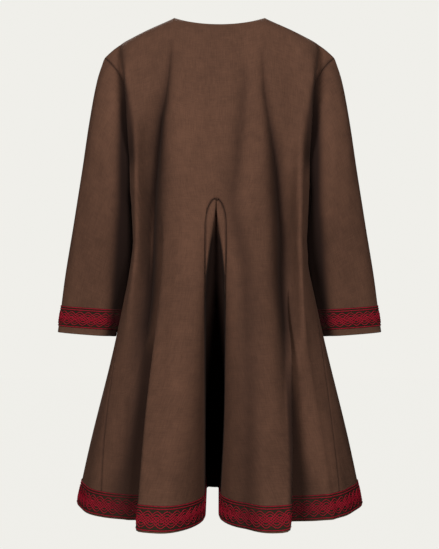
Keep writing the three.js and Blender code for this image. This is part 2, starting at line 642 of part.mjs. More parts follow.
// The gore's top row follows the slit's rounded top, just below it.
const goreShares = [0.05, 0.16, 0.3, 0.45, 0.6, 0.74, 0.8, 0.86, 0.93, 1];
const goreAcross = [...goreShares.map((m) => -m).reverse(), ...goreShares];
const archDrop = (column) => SLIT_FOOT - SLIT_RISE * sin(archAngle(column));
const goreDrops = [archDrop(1), archDrop(2), ...LOWER_ROWS.filter((drop) => drop >= SLIT_FOOT)];
const gorePoints = goreDrops.map((drop) => goreAcross.map((across) => gorePoint(across, drop)));
gorePoints.forEach((row, i) => {
  const at = i < 2 ? [footRow, i + 1] : [footRow + i - 2, ARCH];
  row[0].copy(back.points[at[0]][SIDE - at[1]]);
  row[row.length - 1].copy(back.points[at[0]][SIDE + at[1]]);
});
const apex = back.points[footRow][SIDE];
const topRow = gorePoints[0];
const shoulders = [topRow[0].clone(), topRow.at(-1).clone()];
topRow.forEach((p, n) => {
  if (n === 0 || n === topRow.length - 1) return;
  const end = shoulders[goreAcross[n] < 0 ? 0 : 1];
  const share = 0.04 + 0.96 * abs(goreAcross[n]);
  const dip = 1.5 * (1 - share);
  p.copy(apex).lerp(end, share);
  p.z -= 0.75;
  p.y -= dip;
});
const gore = makeGrid(gorePoints);

// A side gore is one point at its top.
const sideAcross = [-1, -0.72, -0.44, -0.15, 0.15, 0.44, 0.72, 1];
const sideDrops = LOWER_ROWS.filter((drop) => drop >= SIDE_GORE.top);
const sideGore = (turn) =>
  makeGrid(
    sideDrops.map((drop) => sideAcross.map((across) => sideGorePoint(turn, across, drop))),
    { backward: turn < 0 },
  );

// A sleeve's first ring is the armhole edge of the two panels.
const sleeveAngles = [
  ...UPPER_ROWS.map((share) => 180 * share),
  ...UPPER_ROWS.slice(1, -1).map((share) => 360 - 180 * share).reverse(),
];
const sleeveGrid = (turn) =>
  makeGrid(
    SLEEVE_ROWS.map((share) => sleeveAngles.map((angle) => sleevePoint(turn, angle, share))),
    { wrap: true, backward: turn > 0 },
  );

const sides = Object.fromEntries(
  [1, -1].map((turn) => [turn, { turn, gore: sideGore(turn), sleeve: sleeveGrid(turn) }]),
);

const backAt = (row, column) => [back, row, SIDE + column];
const frontAt = (row, column) => [front, row, FRONT.side + column];
const seamPoints = [];
for (const { turn, gore: wedge, sleeve: arm } of Object.values(sides)) {
  // Shoulder seam, from the neck point to the tip.
  for (let n = 1; n <= 8; n++) seamPoints.push([backAt(0, turn * (SIDE - n)), frontAt(0, turn * (FRONT.side - n))]);
  // Armhole, from the tip round both sides to the underarm point.
  const last = sleeveAngles.length;
  seamPoints.push([backAt(0, turn * SIDE), frontAt(0, turn * FRONT.side), [arm, 0, 0]]);
  for (let row = 1; row < armRow; row++) {
    seamPoints.push([backAt(row, turn * SIDE), [arm, 0, row]]);
    seamPoints.push([frontAt(row, turn * FRONT.side), [arm, 0, last - row]]);
  }
  seamPoints.push([backAt(armRow, turn * SIDE), frontAt(armRow, turn * FRONT.side), [arm, 0, armRow]]);
  // Side seam, then both seams of the side gore.
  for (let row = armRow + 1; row < panelRows.length; row++) {
    const i = row - (panelRows.length - sideDrops.length);
    if (i < 0) {
      seamPoints.push([backAt(row, turn * SIDE), frontAt(row, turn * FRONT.side)]);
    } else if (i === 0) {
      const tip = sideAcross.map((_, n) => [wedge, 0, n]);
      seamPoints.push([backAt(row, turn * SIDE), frontAt(row, turn * FRONT.side), ...tip]);
    } else {
      seamPoints.push([backAt(row, turn * SIDE), [wedge, i, 0]]);
      seamPoints.push([frontAt(row, turn * FRONT.side), [wedge, i, sideAcross.length - 1]]);
    }
  }
}
// Slit and centre gore.
for (const turn of [1, -1]) {
  goreDrops.forEach((_, i) => {
    const at = i < 2 ? [footRow, i + 1] : [footRow + i - 2, ARCH];
    seamPoints.push([backAt(at[0], turn * at[1]), [gore, i, turn > 0 ? goreAcross.length - 1 : 0]]);
  });
}
seamPoints.push([backAt(footRow, 0)]);

sew([back, front, gore, sides[1].gore, sides[-1].gore, sides[1].sleeve, sides[-1].sleeve], seamPoints);

// A ring of braid that lies on one row of cells of a ring of grids: [grid, row, column] each.
function braidSolid(ring, backward) {
  const layer = (by) =>
    [0, 1].map((next) =>
      ring.map(([grid, row, column]) =>
        grid.nominal[row + next][column].clone().addScaledVector(grid.walls[row + next][column], by),
      ),
    );
  const grid = makeGrid(layer(0), { wrap: true, backward });
  return solidOf(grid, layer(BRAID.stand + BRAID.thick), layer(BRAID.stand));
}

const run = (grid, row, from, to) =>
  Array.from({ length: abs(to - from) + 1 }, (_, n) => [grid, row, from + n * sign(to - from)]);
const lastAcross = sideAcross.length - 1;
const hemRing = [
  ...run(back, braidRow, SIDE + ARCH, 2 * SIDE),
  ...run(sides[1].gore, sideDrops.length - 3, 1, lastAcross - 1),
  ...run(front, braidRow, 2 * FRONT.side, 0),
  ...run(sides[-1].gore, sideDrops.length - 3, lastAcross - 1, 1),
  ...run(back, braidRow, 0, SIDE - ARCH),
  ...run(gore, goreDrops.length - 3, 1, goreAcross.length - 2),
];
const cuffRing = (arm) => run(arm, SLEEVE_ROWS.indexOf(CUFF.top), 0, sleeveAngles.length - 1);

const CLOTH = new THREE.MeshStandardMaterial({ color: 0x6a463a, roughness: 0.95 });
const BRAIDED = new THREE.MeshStandardMaterial({ color: 0x8a1f34, roughness: 0.85 });

const group = new THREE.Group();
function add(name, geometry, material) {
  const mesh = new THREE.Mesh(geometry, material);
  mesh.name = name;
  group.add(mesh);
}
add("back_panel", wallSolid(back), CLOTH);
add("back_gore", wallSolid(gore), CLOTH);
add("front_panel", wallSolid(front), CLOTH);
add("hem_braid", braidSolid(hemRing, false), BRAIDED);
for (const [name, turn] of [
  ["left", 1],
  ["right", -1],
]) {
  const { gore: wedge, sleeve: arm } = sides[turn];
  add("side_gore_" + name, wallSolid(wedge), CLOTH);
  add("sleeve_" + name, wallSolid(arm), CLOTH);
  add("cuff_braid_" + name, braidSolid(cuffRing(arm), turn > 0), BRAIDED);
}

export default group;
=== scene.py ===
import math

import bpy
import numpy as np
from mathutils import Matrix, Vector
from mathutils.kdtree import KDTree


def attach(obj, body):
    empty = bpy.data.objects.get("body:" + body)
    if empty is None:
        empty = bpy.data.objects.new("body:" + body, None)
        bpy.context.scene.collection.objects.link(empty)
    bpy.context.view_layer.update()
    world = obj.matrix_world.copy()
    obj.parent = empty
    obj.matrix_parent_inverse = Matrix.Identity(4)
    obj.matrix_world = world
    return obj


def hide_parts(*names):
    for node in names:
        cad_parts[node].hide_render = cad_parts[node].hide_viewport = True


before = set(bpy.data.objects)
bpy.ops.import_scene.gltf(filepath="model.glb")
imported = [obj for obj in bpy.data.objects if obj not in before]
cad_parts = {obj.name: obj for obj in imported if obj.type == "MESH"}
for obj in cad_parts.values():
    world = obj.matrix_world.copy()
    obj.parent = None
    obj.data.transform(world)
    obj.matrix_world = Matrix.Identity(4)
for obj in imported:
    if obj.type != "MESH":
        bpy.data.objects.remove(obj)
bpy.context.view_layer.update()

# ---------------------------------------------------------------------------
# Camera: it looks level at the back of the tunic from the +Y side, a little below the middle of its
# height, so the neck opening shows no inside.
CAMERA_DISTANCE = 2.2
CAMERA_HEIGHT = -0.558
CAMERA_LENS = 66.33

camera = bpy.data.objects.new("camera", bpy.data.cameras.new("camera"))
camera.data.lens = CAMERA_LENS
camera.data.sensor_width = 36.0
camera.location = (0.0, CAMERA_DISTANCE, CAMERA_HEIGHT)
camera.rotation_euler = (math.radians(90), 0.0, math.radians(180))
bpy.context.scene.collection.objects.link(camera)
bpy.context.scene.camera = camera

# ---------------------------------------------------------------------------
# Back panel: one width of fulled brown wool from the shoulder seams to the hem, slit up the middle
# for the gore. It is sewn to its neighbours, and hangs from the shoulders in two deep lobes with a
# valley beside each lobe's edge.

# Lengths are in millimetres, heights are drops below the neck points, and bearings are degrees
# round the body from the centre back towards the wearer's left.
LENGTH = 1060.0
WALL = 1.8
ARMPIT = 330.0
NECK_HALF = 95.0
SLIT_FOOT, SLIT_RISE, SLIT_HALF = 453.0, 51.0, 21.0
SIDE_GORE_TOP, SIDE_GORE_HALF = 453.0, 25.0


def table(columns, *rows):
    """Smooth functions of a table's first column, one for each other column, with no overshoot."""
    data = np.array(rows, float)
    xs = data[:, 0]

    def smooth(ys):
        rise = np.diff(ys) / np.diff(xs)
        before = np.concatenate([rise[:1], rise])
        after = np.concatenate([rise, rise[-1:]])
        total = np.where(np.abs(before + after) < 1e-12, 1.0, before + after)
        slope = np.where(before * after <= 0, 0.0, 2 * before * after / total)

        def at(x):
            x = np.clip(x, xs[0], xs[-1])
            k = np.clip(np.searchsorted(xs, x, side="right") - 1, 0, len(xs) - 2)
            wide = xs[k + 1] - xs[k]
            t = (x - xs[k]) / wide
            return (
                (1 + 2 * t) * (1 - t) ** 2 * ys[k]
                + t * (1 - t) ** 2 * wide * slope[k]
                + t * t * (3 - 2 * t) * ys[k + 1]
                + t * t * (t - 1) * wide * slope[k + 1]
            )

        return at

    return {name: smooth(data[:, n + 1]) for n, name in enumerate(columns.split()[1:])}


SECTION = table(
    "drop half back front square",
    (330, 183, 118, 124, 2.5),
    (396, 183, 120, 127, 2.45),
    (480, 184.5, 124, 130, 2.35),
    (526, 190.5, 129, 134, 2.3),
    (613, 208, 142, 146, 2.2),
    (722, 231.5, 160, 163, 2.12),
    (918, 278, 188, 192, 2.04),
    (1060, 308, 208, 214, 2),
)
SHOULDER = table(
    "x drop",
    (95, 4),
    (104, 8.2),
    (131, 19.6),
    (157, 30.7),
    (183, 42.4),
    (210, 55),
    (223, 63.2),
    (236, 73.5),
    (250, 86.5),
)
TIP_X, TIP_DROP = 250.0, 87.0
ARMHOLE = table(
    "share x y drop",
    (0, 250, 0, 87),
    (0.14, 231, 18, 107),
    (0.28, 211, 27, 135),
    (0.42, 199, 30, 168),
    (0.56, 192, 29, 206),
    (0.7, 187, 26, 250),
    (0.85, 184, 18, 296),
    (1, 182, 0, 330),
)
# The slit's sewn edges (centre, half), how far each lobe rolls in before them (turn, sink), and the
# gore's own pleat (cleft, roll, end).
PLEAT = table(
    "drop centre half turn sink cleft roll end",
    (393, 6.5, 1, 34, 1, 0.8, 1, 117),
    (420, 7, 17, 36, 1.6, 1.2, 5, 111),
    (453, 7.5, 21, 38, 3, 4.5, 9, 100),
    (517, 8, 21.5, 40, 11, 14, 9, 78),
    (600, 9, 21.5, 44, 27, 21, 14, 50),
    (831, 10, 20.5, 64, 70, 20.1, 26, -29),
    (1060, 15.5, 15.5, 92, 108, 15.1, 32, -110),
)
TURN_RATIO = {1: 1.0, -1: 1.12}
NECK_BEARING = 45.0
NECK_CUT = {1: 24.5, -1: 47.0}
NECK_POWER = {1: 0.66, -1: 0.8}
PROFILE = {1: 0.72, -1: 0.9}
# The panel hangs over the armhole in a fold with a crease outside it.
EDGE_FOLD = table(
    "share bearing reach lift crease",
    (0, 77.8, 0, 0, 0),
    (0.05, 78, 2, 5, 7),
    (0.1, 79, 2, 9, 10),
    (0.15, 80, 3, 14, 11),
    (0.2, 81.5, 2.5, 20, 11),
    (0.28, 83.5, 5, 28, 8),
    (0.36, 84.5, 7.5, 35, 4),
    (0.45, 85, 9.5, 40, 2),
    (0.56, 85, 12, 42, 0),
    (0.7, 84.5, 12, 40, 0),
    (0.85, 83.5, 8.5, 30, 0),
    (0.93, 83, 5, 17, 0),
    (1, 82, 0, 0, 0),
)
EDGE_INNER, EDGE_OUTER, CREASE_OFF, CREASE_HALF = 18.0, 3.4, 4.6, 2.6

# Hollows behind, below the shoulder blades: the line of the deepest part, its depth, how far it
# spreads towards the middle and the side, and how far it leans in under the middle.
HOLLOWS = [
    table(
        "drop x depth inner outer lean",
        (60, 101, 0, 6, 8, 0.3),
        (111, 107, 7, 7, 11, 0.3),
        (173, 117, 18, 10, 18, 0.3),
        (237, 133, 34, 13, 24, 0.3),
        (320, 146, 50, 18, 26, 0.28),
        (402, 155, 58, 22, 26, 0.25),
        (486, 160, 60, 22, 25, 0.25),
        (570, 163, 52, 22, 26, 0.32),
        (652, 170, 36, 20, 28, 0.5),
        (734, 176, 18, 18, 30, 0.6),
        (816, 182, 0, 18, 30, 0.6),
    ),
    table(
        "drop x depth inner outer lean",
        (80, -89, 0, 7, 9, 0.2),
        (173, -97, 10, 9, 11, 0.2),
        (237, -109, 18, 13, 15, 0.2),
        (320, -125, 34, 17, 18, 0.18),
        (402, -136, 52, 21, 19, 0.18),
        (486, -143, 58, 22, 19, 0.18),
        (570, -141, 54, 22, 20, 0.18),
        (652, -142, 38, 19, 19, 0.18),
        (734, -138, 20, 15, 14, 0.1),
        (816, -133, 7, 13, 11, 0),
        (896, -135, 3, 12, 10, 0),
        (978, -138, 0, 12, 10, 0),
    ),
    table(
        "drop x depth inner outer lean",
        (100, -52, 0, 14, 14, 0),
        (173, -51, 5, 14, 14, 0),
        (320, -38, 8, 18, 18, 0),
        (402, -30, 7, 20, 20, 0),
        (570, -58, 12, 24, 24, 0),
        (978, -55, 13, 26, 26, 0),
        (1060, -52, 13, 26, 26, 0),
    ),
]
# Ridges beside the armholes, from the shoulder blades to the hips, in the same terms.
RIDGES = [
    table(
        "drop x lift inner outer",
        (200, 176, 0, 16, 10),
        (330, 176, 26, 14, 9),
        (402, 176, 34, 13, 9),
        (486, 177, 34, 13, 9),
        (570, 184, 28, 16, 12),
        (652, 192, 20, 20, 16),
        (760, 198, 0, 20, 20),
    ),
    table(
        "drop x lift inner outer",
        (200, -172, 0, 16, 12),
        (330, -170, 26, 14, 12),
        (402, -168, 34, 13, 13),
        (486, -168, 34, 13, 13),
        (570, -172, 28, 14, 18),
        (652, -176, 20, 14, 22),
        (760, -176, 0, 14, 24),
    ),
]
folds = []


def fold(top, hem, start, gain, lift, half, tuck=0.0, slip=0.0, leans=0, fade=None):
    """One fold: its bearing where it starts and at the hem, the drop where it starts, how late it
    grows, its height and half width, or its half widths towards the centre back and away from it.
    tuck and slip make an edge that overhangs towards leans."""
    folds.append((top, hem, start, gain, lift, half, tuck, slip, leans, fade))


# Behind, on the wearer's left and then on the right.
fold(27, 27, 380, 1.35, 46, 17)
fold(53, 35.2, 430, 0.8, 0, 5, 9, 18, 1)
fold(61, 43.7, 380, 0.8, -54, (8, 17))
fold(70, 54, 500, 0.6, 5, 2)
fold(-25, -24, 380, 1.35, 43, 16)
fold(-60, -29.8, 560, 0.8, 0, 4.6, 9, 18, -1)
fold(-68, -37.8, 520, 0.8, -54, (8, 17))
fold(-70, -60, 500, 0.6, 5, 2)
# In front.
fold(180, 178, 420, 1.2, -26, 12)
fold(152, 153, 400, 1.3, 24, 12)
fold(136, 138, 520, 1.0, 0, 5, 8, 15, -1)
fold(131, 131, 360, 1.1, -26, 8)
fold(-151, -154, 400, 1.3, 26, 12)
fold(-135, -139, 520, 1.0, 0, 5, 8, 15, 1)
fold(-130, -132, 360, 1.1, -26, 8)
# Soft folds of the upper body, which die away over the hips.
fold(82, 76, 160, 1.0, 15, 8, fade=640)
fold(-82, -76, 160, 1.0, 15, 8, fade=640)
fold(128, 132, 80, 1.0, -8, 10, fade=600)
fold(-130, -131, 80, 1.0, -8, 10, fade=600)


def mix(a, b, share):
    return a + (b - a) * share


def ease(share):
    s = np.clip(share, 0, 1)
    return s * s * (3 - 2 * s)


def overhang(u):
    return -math.sqrt(2 * math.e) * u * np.exp(-u * u)


def fold_at(bearing, drop):
    """How far all folds lift the cloth off the plain section, and slip it along it."""
    lift = np.zeros(np.broadcast(bearing, drop).shape)
    slip = np.zeros_like(lift)
    for top, hem, start, gain, high, half, tuck, slide, leans, fade in folds:
        grown = np.clip((drop - start) / ((ARMPIT if fade else LENGTH) - start), 0, 1)
        line = mix(top, hem, grown)
        strength = grown**gain
        if fade:
            strength = strength * (1 - ease((drop - ARMPIT) / (fade - ARMPIT)))
        u = (bearing - line + 180) % 360 - 180
        inner, outer = half if isinstance(half, tuple) else (half, half)
        u = u / np.where(u * np.sign(line) < 0, inner, outer)
        lift += strength * high * np.exp(-u * u)
        if leans:
            lift += strength * tuck * overhang(u * leans)
            slip += strength * slide * overhang(u * leans) * leans
    return lift, slip


def plain(bearing, drop):
    """Reach, sine and cosine of a bearing on the plain rounded oblong at a drop."""
    s, c = np.sin(np.radians(bearing)), np.cos(np.radians(bearing))
    deep = np.where(c > 0, SECTION["back"](drop), SECTION["front"](drop))
    n = SECTION["square"](drop)
    reach = ((np.abs(c) / deep) ** n + (np.abs(s) / SECTION["half"](drop)) ** n) ** (-1 / n)
    return reach, s, c


def drape(bearing, drop):
    """Small uneven swells, as hanging wool has: long up and down, short round the body."""
    b = np.radians(bearing)
    grown = 0.55 + 0.9 * ease((drop - 250) / 700)
    swell = (
        np.sin(9 * b + 0.8 + drop / 310)
        + 0.8 * np.sin(14 * b + 2.1 - drop / 240)
        + 0.55 * np.sin(23 * b + 4.0 + drop / 170)
        + 0.4 * np.sin(5 * b + drop / 95 + 1.0)
    )
    return grown * swell


def hollow(x, drop, share):
    """How far the hollows and ridges behind move the cloth at this place: sideways, and inwards."""
    aside, inwards = 0.0, 0.0
    for line in HOLLOWS:
        middle = line["x"](drop)
        away = (x - middle) * np.sign(middle)
        away = away / np.where(away < 0, line["inner"](drop), line["outer"](drop))
        depth = share * line["depth"](drop) * np.exp(-((away * away + 0.02) ** 0.65))
        under = np.exp(-((1.8 * np.maximum(away, 0)) ** 2))
        aside = aside - np.sign(middle) * line["lean"](drop) * depth * under
        inwards = inwards - depth
    for line in RIDGES:
        middle = line["x"](drop)
        away = (x - middle) * np.sign(middle)
        away = away / np.where(away < 0, line["inner"](drop), line["outer"](drop))
        inwards = inwards + share * line["lift"](drop) * np.exp(-away * away)
    return aside, inwards


SIDE_RISE, SIDE_RISE_START = 6.5, 720.0
CORNER_RISE, CORNER_HALF, CORNER_HEIGHT = 9.0, 2.2, 48.0
LOBE_CORNERS = (34.6, -28.6)


def hem_rise(bearing, drop):
    """The hem hangs a little higher at the sides and where the lobes' edges turn under."""
    side = SIDE_RISE * np.abs(np.sin(np.radians(bearing))) ** 12
    side = side * ease((drop - SIDE_RISE_START) / (LENGTH - SIDE_RISE_START))
    corners = sum(np.exp(-(((bearing - corner) / CORNER_HALF) ** 2)) for corner in LOBE_CORNERS)
    return side + CORNER_RISE * corners * ease((drop - LENGTH + CORNER_HEIGHT) / CORNER_HEIGHT)


def body(bearing, drop):
    """A point of the body below the armpit."""
    lift, slip = fold_at(bearing, drop)
    reach, _, _ = plain(bearing, drop)
    reach, s, c = plain(bearing + np.degrees(slip / reach), drop)
    out = reach + lift + drape(bearing, drop) * ease((drop - ARMPIT) / 120)
    aside, inwards = hollow(out * s, drop, ease(c * 6))
    return np.stack([out * s + aside, out * c + inwards, hem_rise(bearing, drop) - drop], -1)


def bearing_at(x, drop):
    """The bearing at which the middle of the back, inside the lobes' edges, has this x."""
    low = np.full(np.broadcast(x, drop).shape, -34.0)
    high = -low
    for _ in range(24):
        middle = (low + high) / 2
        less = body(middle, drop)[..., 0] < x
        low, high = np.where(less, middle, low), np.where(less, high, middle)
    return (low + high) / 2


def upper(side, bearing, share):
    """A point between the neckline or shoulder seam and the armpit. side is 1 behind, -1 before."""
    bearing, share = np.broadcast_arrays(np.asarray(bearing, float), np.asarray(share, float))
    off, turn = np.abs(bearing), np.where(bearing < 0, -1.0, 1.0)
    in_neck = off < NECK_BEARING
    reach = np.where(in_neck, off / NECK_BEARING, 1 + (off - NECK_BEARING) / (90 - NECK_BEARING))
    quarter = np.clip(reach, 0, 1) * math.pi / 2
    along = NECK_HALF + (TIP_X - NECK_HALF) * np.clip(reach - 1, 0, 1)
    top_x = np.where(in_neck, NECK_HALF * np.sin(quarter), along)
    inset = np.maximum(np.cos(quarter), 1e-9)
    top_drop = np.where(in_neck, mix(4.0, 7.6, inset**0.5), SHOULDER["drop"](along))
    cut = np.where(in_neck, NECK_CUT[side] * inset ** NECK_POWER[side], 0.0)
    angle = np.radians(mix(cut, 90.0, share))
    power = PROFILE[side]
    out = np.sin(angle) ** power
    down = 1 - np.clip(np.cos(angle), 0, 1) ** power
    inward = share**0.8
    whole = bearing if side > 0 else 180 - bearing
    flat, s, c = plain(whole, ARMPIT)
    x = mix(turn * top_x, flat * s, inward)
    y = flat * c * out
    z = -mix(top_drop, ARMPIT, down)
    lift = (fold_at(whole, np.minimum(-z, ARMPIT))[0] + drape(whole, -z) * ease(share * 4)) * out
    spread = share**3
    x = x + lift * s * spread
    y = y + lift * mix(float(side), c, spread)
    pull = np.clip((off - 56) / 34, 0, 1) ** 2.2
    x = x + turn * (ARMHOLE["x"](share) - mix(TIP_X, SECTION["half"](ARMPIT), inward)) * pull
    y = y + side * ARMHOLE["y"](share) * pull
    fall = 1 - np.clip(np.cos(np.radians(share * 90)), 0, 1) ** power
    z = z - (ARMHOLE["drop"](share) - mix(TIP_DROP, ARMPIT, fall)) * pull
    u = off - EDGE_FOLD["bearing"](share)
    hang = np.exp(-((u / np.where(u < 0, EDGE_INNER, EDGE_OUTER)) ** 2)) * (1 - pull**4)
    crease = np.exp(-(((u - CREASE_OFF) / CREASE_HALF) ** 2)) * (1 - pull**4)
    x = x + turn * EDGE_FOLD["reach"](share) * hang
    y = y + side * (EDGE_FOLD["lift"](share) * hang - EDGE_FOLD["crease"](share) * crease)
    if side > 0:
        aside, inwards = hollow(x, -z, ease(share * 12) * ease(np.cos(np.radians(bearing)) * 6))
        x, y = x + aside, y + inwards
    return np.stack([x, y, z], -1)


# A half panel is crossed by a column number from its middle to its side: 0 to 3 end on the slit's
# rounded top, then come the roll up to the crest, the lobe's edge, its valley and the side.
ARCH, CREST, EDGE, VALLEY, SIDE = 3.0, 9.0, 12.0, 18.0, 23.0
KNOTS = dict(crest=28.0, edge=(37.0, 37.0, 33.0), valley=(53.0, 53.0, 50.0))


def arch_angle(column):
    return np.radians(90 * (1 - np.minimum(column, ARCH) / ARCH))


def arch_rise(column):
    return np.where(column < ARCH, SLIT_RISE * np.sin(arch_angle(column)), 0.0)


def roll_angle(column):
    return np.radians(90 * (np.clip(column, ARCH, CREST) - ARCH) / (CREST - ARCH))


def roll_turn(turn, drop):
    return PLEAT["turn"](drop) * TURN_RATIO[turn]


def side_edge(drop):
    spread = np.clip((drop - SIDE_GORE_TOP) / (LENGTH - SIDE_GORE_TOP), 0, 1)
    return 90 - SIDE_GORE_HALF * spread


def knot(turn, name, drop):
    yoke, left, right = KNOTS[name]
    return mix(yoke, left if turn > 0 else right, ease((drop - 160) / (SLIT_FOOT - 160)))


def between(turn, column, crest, drop):
    """Degrees from the panel's middle, for the columns past the crest."""
    return np.where(
        column <= EDGE,
        mix(crest, knot(turn, "edge", drop), (column - CREST) / (EDGE - CREST)),
        np.where(
            column <= VALLEY,
            mix(knot(turn, "edge", drop), knot(turn, "valley", drop), (column - EDGE) / (VALLEY - EDGE)),
            mix(knot(turn, "valley", drop), side_edge(drop), (column - VALLEY) / (SIDE - VALLEY)),
        ),
    )


def slit_half(column, drop):
    return np.where(column < ARCH, SLIT_HALF * np.cos(arch_angle(column)), PLEAT["half"](drop))


def bent_bearing(turn, column):
    """Bearings of the middle columns on the row that bends round the slit's top."""
    roll = (1 - np.cos(roll_angle(column))) * roll_turn(turn, SLIT_FOOT)
    x = PLEAT["centre"](SLIT_FOOT) + turn * (slit_half(column, SLIT_FOOT) + roll)
    return bearing_at(x, SLIT_FOOT + 0 * x)


def whole_bearing(turn, column, drop):
    bent = ease((drop - 230) / (SLIT_FOOT - 230))
    middle = np.minimum(column, CREST)
    inner = mix(turn * KNOTS["crest"] * middle / CREST, bent_bearing(turn, middle), bent)
    crest = mix(KNOTS["crest"], abs(float(bent_bearing(turn, np.array([CREST]))[0])), bent)
    return np.where(column <= CREST, inner, turn * between(turn, column, crest, drop))


def back_upper(turn, column, share):
    bearing = whole_bearing(turn, column, mix(60, ARMPIT, share))
    bearing = np.where(column >= SIDE, turn * 90.0, bearing)
    p = upper(1, bearing, share)
    p[..., 2] += arch_rise(column) * 0.25 * share**6
    return p


def back_middle(turn, column, row):
    near = (row - ARMPIT) / (SLIT_FOOT - ARMPIT)
    drop = row - arch_rise(column) * mix(0.25, 1, near**1.3)
    p = body(whole_bearing(turn, column, row), np.maximum(ARMPIT, drop))
    p[..., 2] = -drop
    roll = np.where(column < CREST, 1 - np.sin(roll_angle(column)), 0.0)
    p[..., 1] -= PLEAT["sink"](SLIT_FOOT) * roll * near**4
    return p


def back_lobe(turn, column, drop):
    middle = PLEAT["centre"](drop)
    x = middle + turn * (slit_half(column, drop) + (1 - np.cos(roll_angle(column))) * roll_turn(turn, drop))
    rolled = bearing_at(np.where(column <= CREST, x, 0.0), drop)
    one_row = drop[:, :1] if drop.ndim > 1 else drop
    crest_x = PLEAT["centre"](one_row) + turn * (PLEAT["half"](one_row) + roll_turn(turn, one_row))
    crest = np.abs(bearing_at(crest_x, one_row))
    bearing = np.where(column <= CREST, rolled, turn * between(turn, column, crest, drop))
    rise = np.where(column <= ARCH, arch_rise(column), 0.0)
    p = body(bearing, drop - rise)
    p[..., 1] -= np.where(column <= CREST, PLEAT["sink"](drop) * (1 - np.sin(roll_angle(column))), 0.0)
    return p


def grid_of(surface, columns, rows):
    u, v = np.meshgrid(np.asarray(columns, float), np.asarray(rows, float))
    return surface(u, v)


def steps(*knots):
    """Numbers from knot to knot: (from, to, how many steps), ..."""
    parts = [np.linspace(a, b, n + 1)[:-1] for a, b, n in knots]
    return np.concatenate([*parts, [knots[-1][1]]])


class Cloth:
    """One cut piece: outer surface grids that share their edges, turned into a closed wall."""

    def __init__(self):
        self.points, self.uvs, self.faces, self.count = [], [], [], 0

    def add(self, grid, backward=False, wrap=False):
        rows, columns = grid.shape[:2]
        index = np.arange(rows * columns).reshape(rows, columns) + self.count
        if wrap:
            index = np.concatenate([index, index[:, :1]], 1)
        a, b, c, d = index[:-1, :-1], index[:-1, 1:], index[1:, 1:], index[1:, :-1]
        quads = np.stack([a, d, c, b] if backward else [a, b, c, d], -1).reshape(-1, 4)
        self.points.append(grid.reshape(-1, 3))
        self.uvs.append(self.plan(grid).reshape(-1, 2))
        self.faces.append(quads)
        self.count += rows * columns

    @staticmethod
    def plan(grid):
        """Where each point lay on the flat cloth: across and along, in millimetres."""
        across = np.zeros(grid.shape[:2])
        across[:, 1:] = np.cumsum(np.linalg.norm(np.diff(grid, axis=1), axis=2), axis=1)
        across -= across[:, grid.shape[1] // 2][:, None]
        along = np.zeros(grid.shape[:2])
        along[1:] = np.cumsum(np.linalg.norm(np.diff(grid, axis=0), axis=2), axis=0)
        along = 0.5 * along + 0.5 * along.mean(1, keepdims=True)
        return np.stack([across, -grid[..., 2] * 0.35 + along * 0.65], -1)

    def merged(self):
        points = np.concatenate(self.points)
        uvs = np.concatenate(self.uvs)
        faces = np.concatenate(self.faces)
        _, first, inverse = np.unique(np.round(points, 3), axis=0, return_index=True, return_inverse=True)
        faces = inverse.reshape(-1)[faces]
        return points[first], uvs[first], faces


def face_normals(points, faces):
    p = points[faces]
    n = np.cross(p[:, 2] - p[:, 0], p[:, 3] - p[:, 1])
    return n / np.maximum(np.linalg.norm(n, axis=1), 1e-12)[:, None]


def point_normals(points, faces):
    n = face_normals(points, faces)
    total = np.zeros_like(points)
    for corner in range(4):
        np.add.at(total, faces[:, corner], n)
    total /= np.maximum(np.linalg.norm(total, axis=1), 1e-12)[:, None]
    facing, number = np.zeros(len(points)), np.zeros(len(points))
    for corner in range(4):
        np.add.at(facing, faces[:, corner], (n * total[faces[:, corner]]).sum(1))
        np.add.at(number, faces[:, corner], 1)
    return total, 1 / np.clip(facing / np.maximum(number, 1), 0.7, 1)


def near_line(points, line):
    """Distance of each point to the nearest point of a dense line."""
    tree = KDTree(len(line))
    for n, p in enumerate(line):
        tree.insert(Vector(p), n)
    tree.balance()
    return np.array([tree.find(Vector(p))[2] for p in points])


sewn = {}


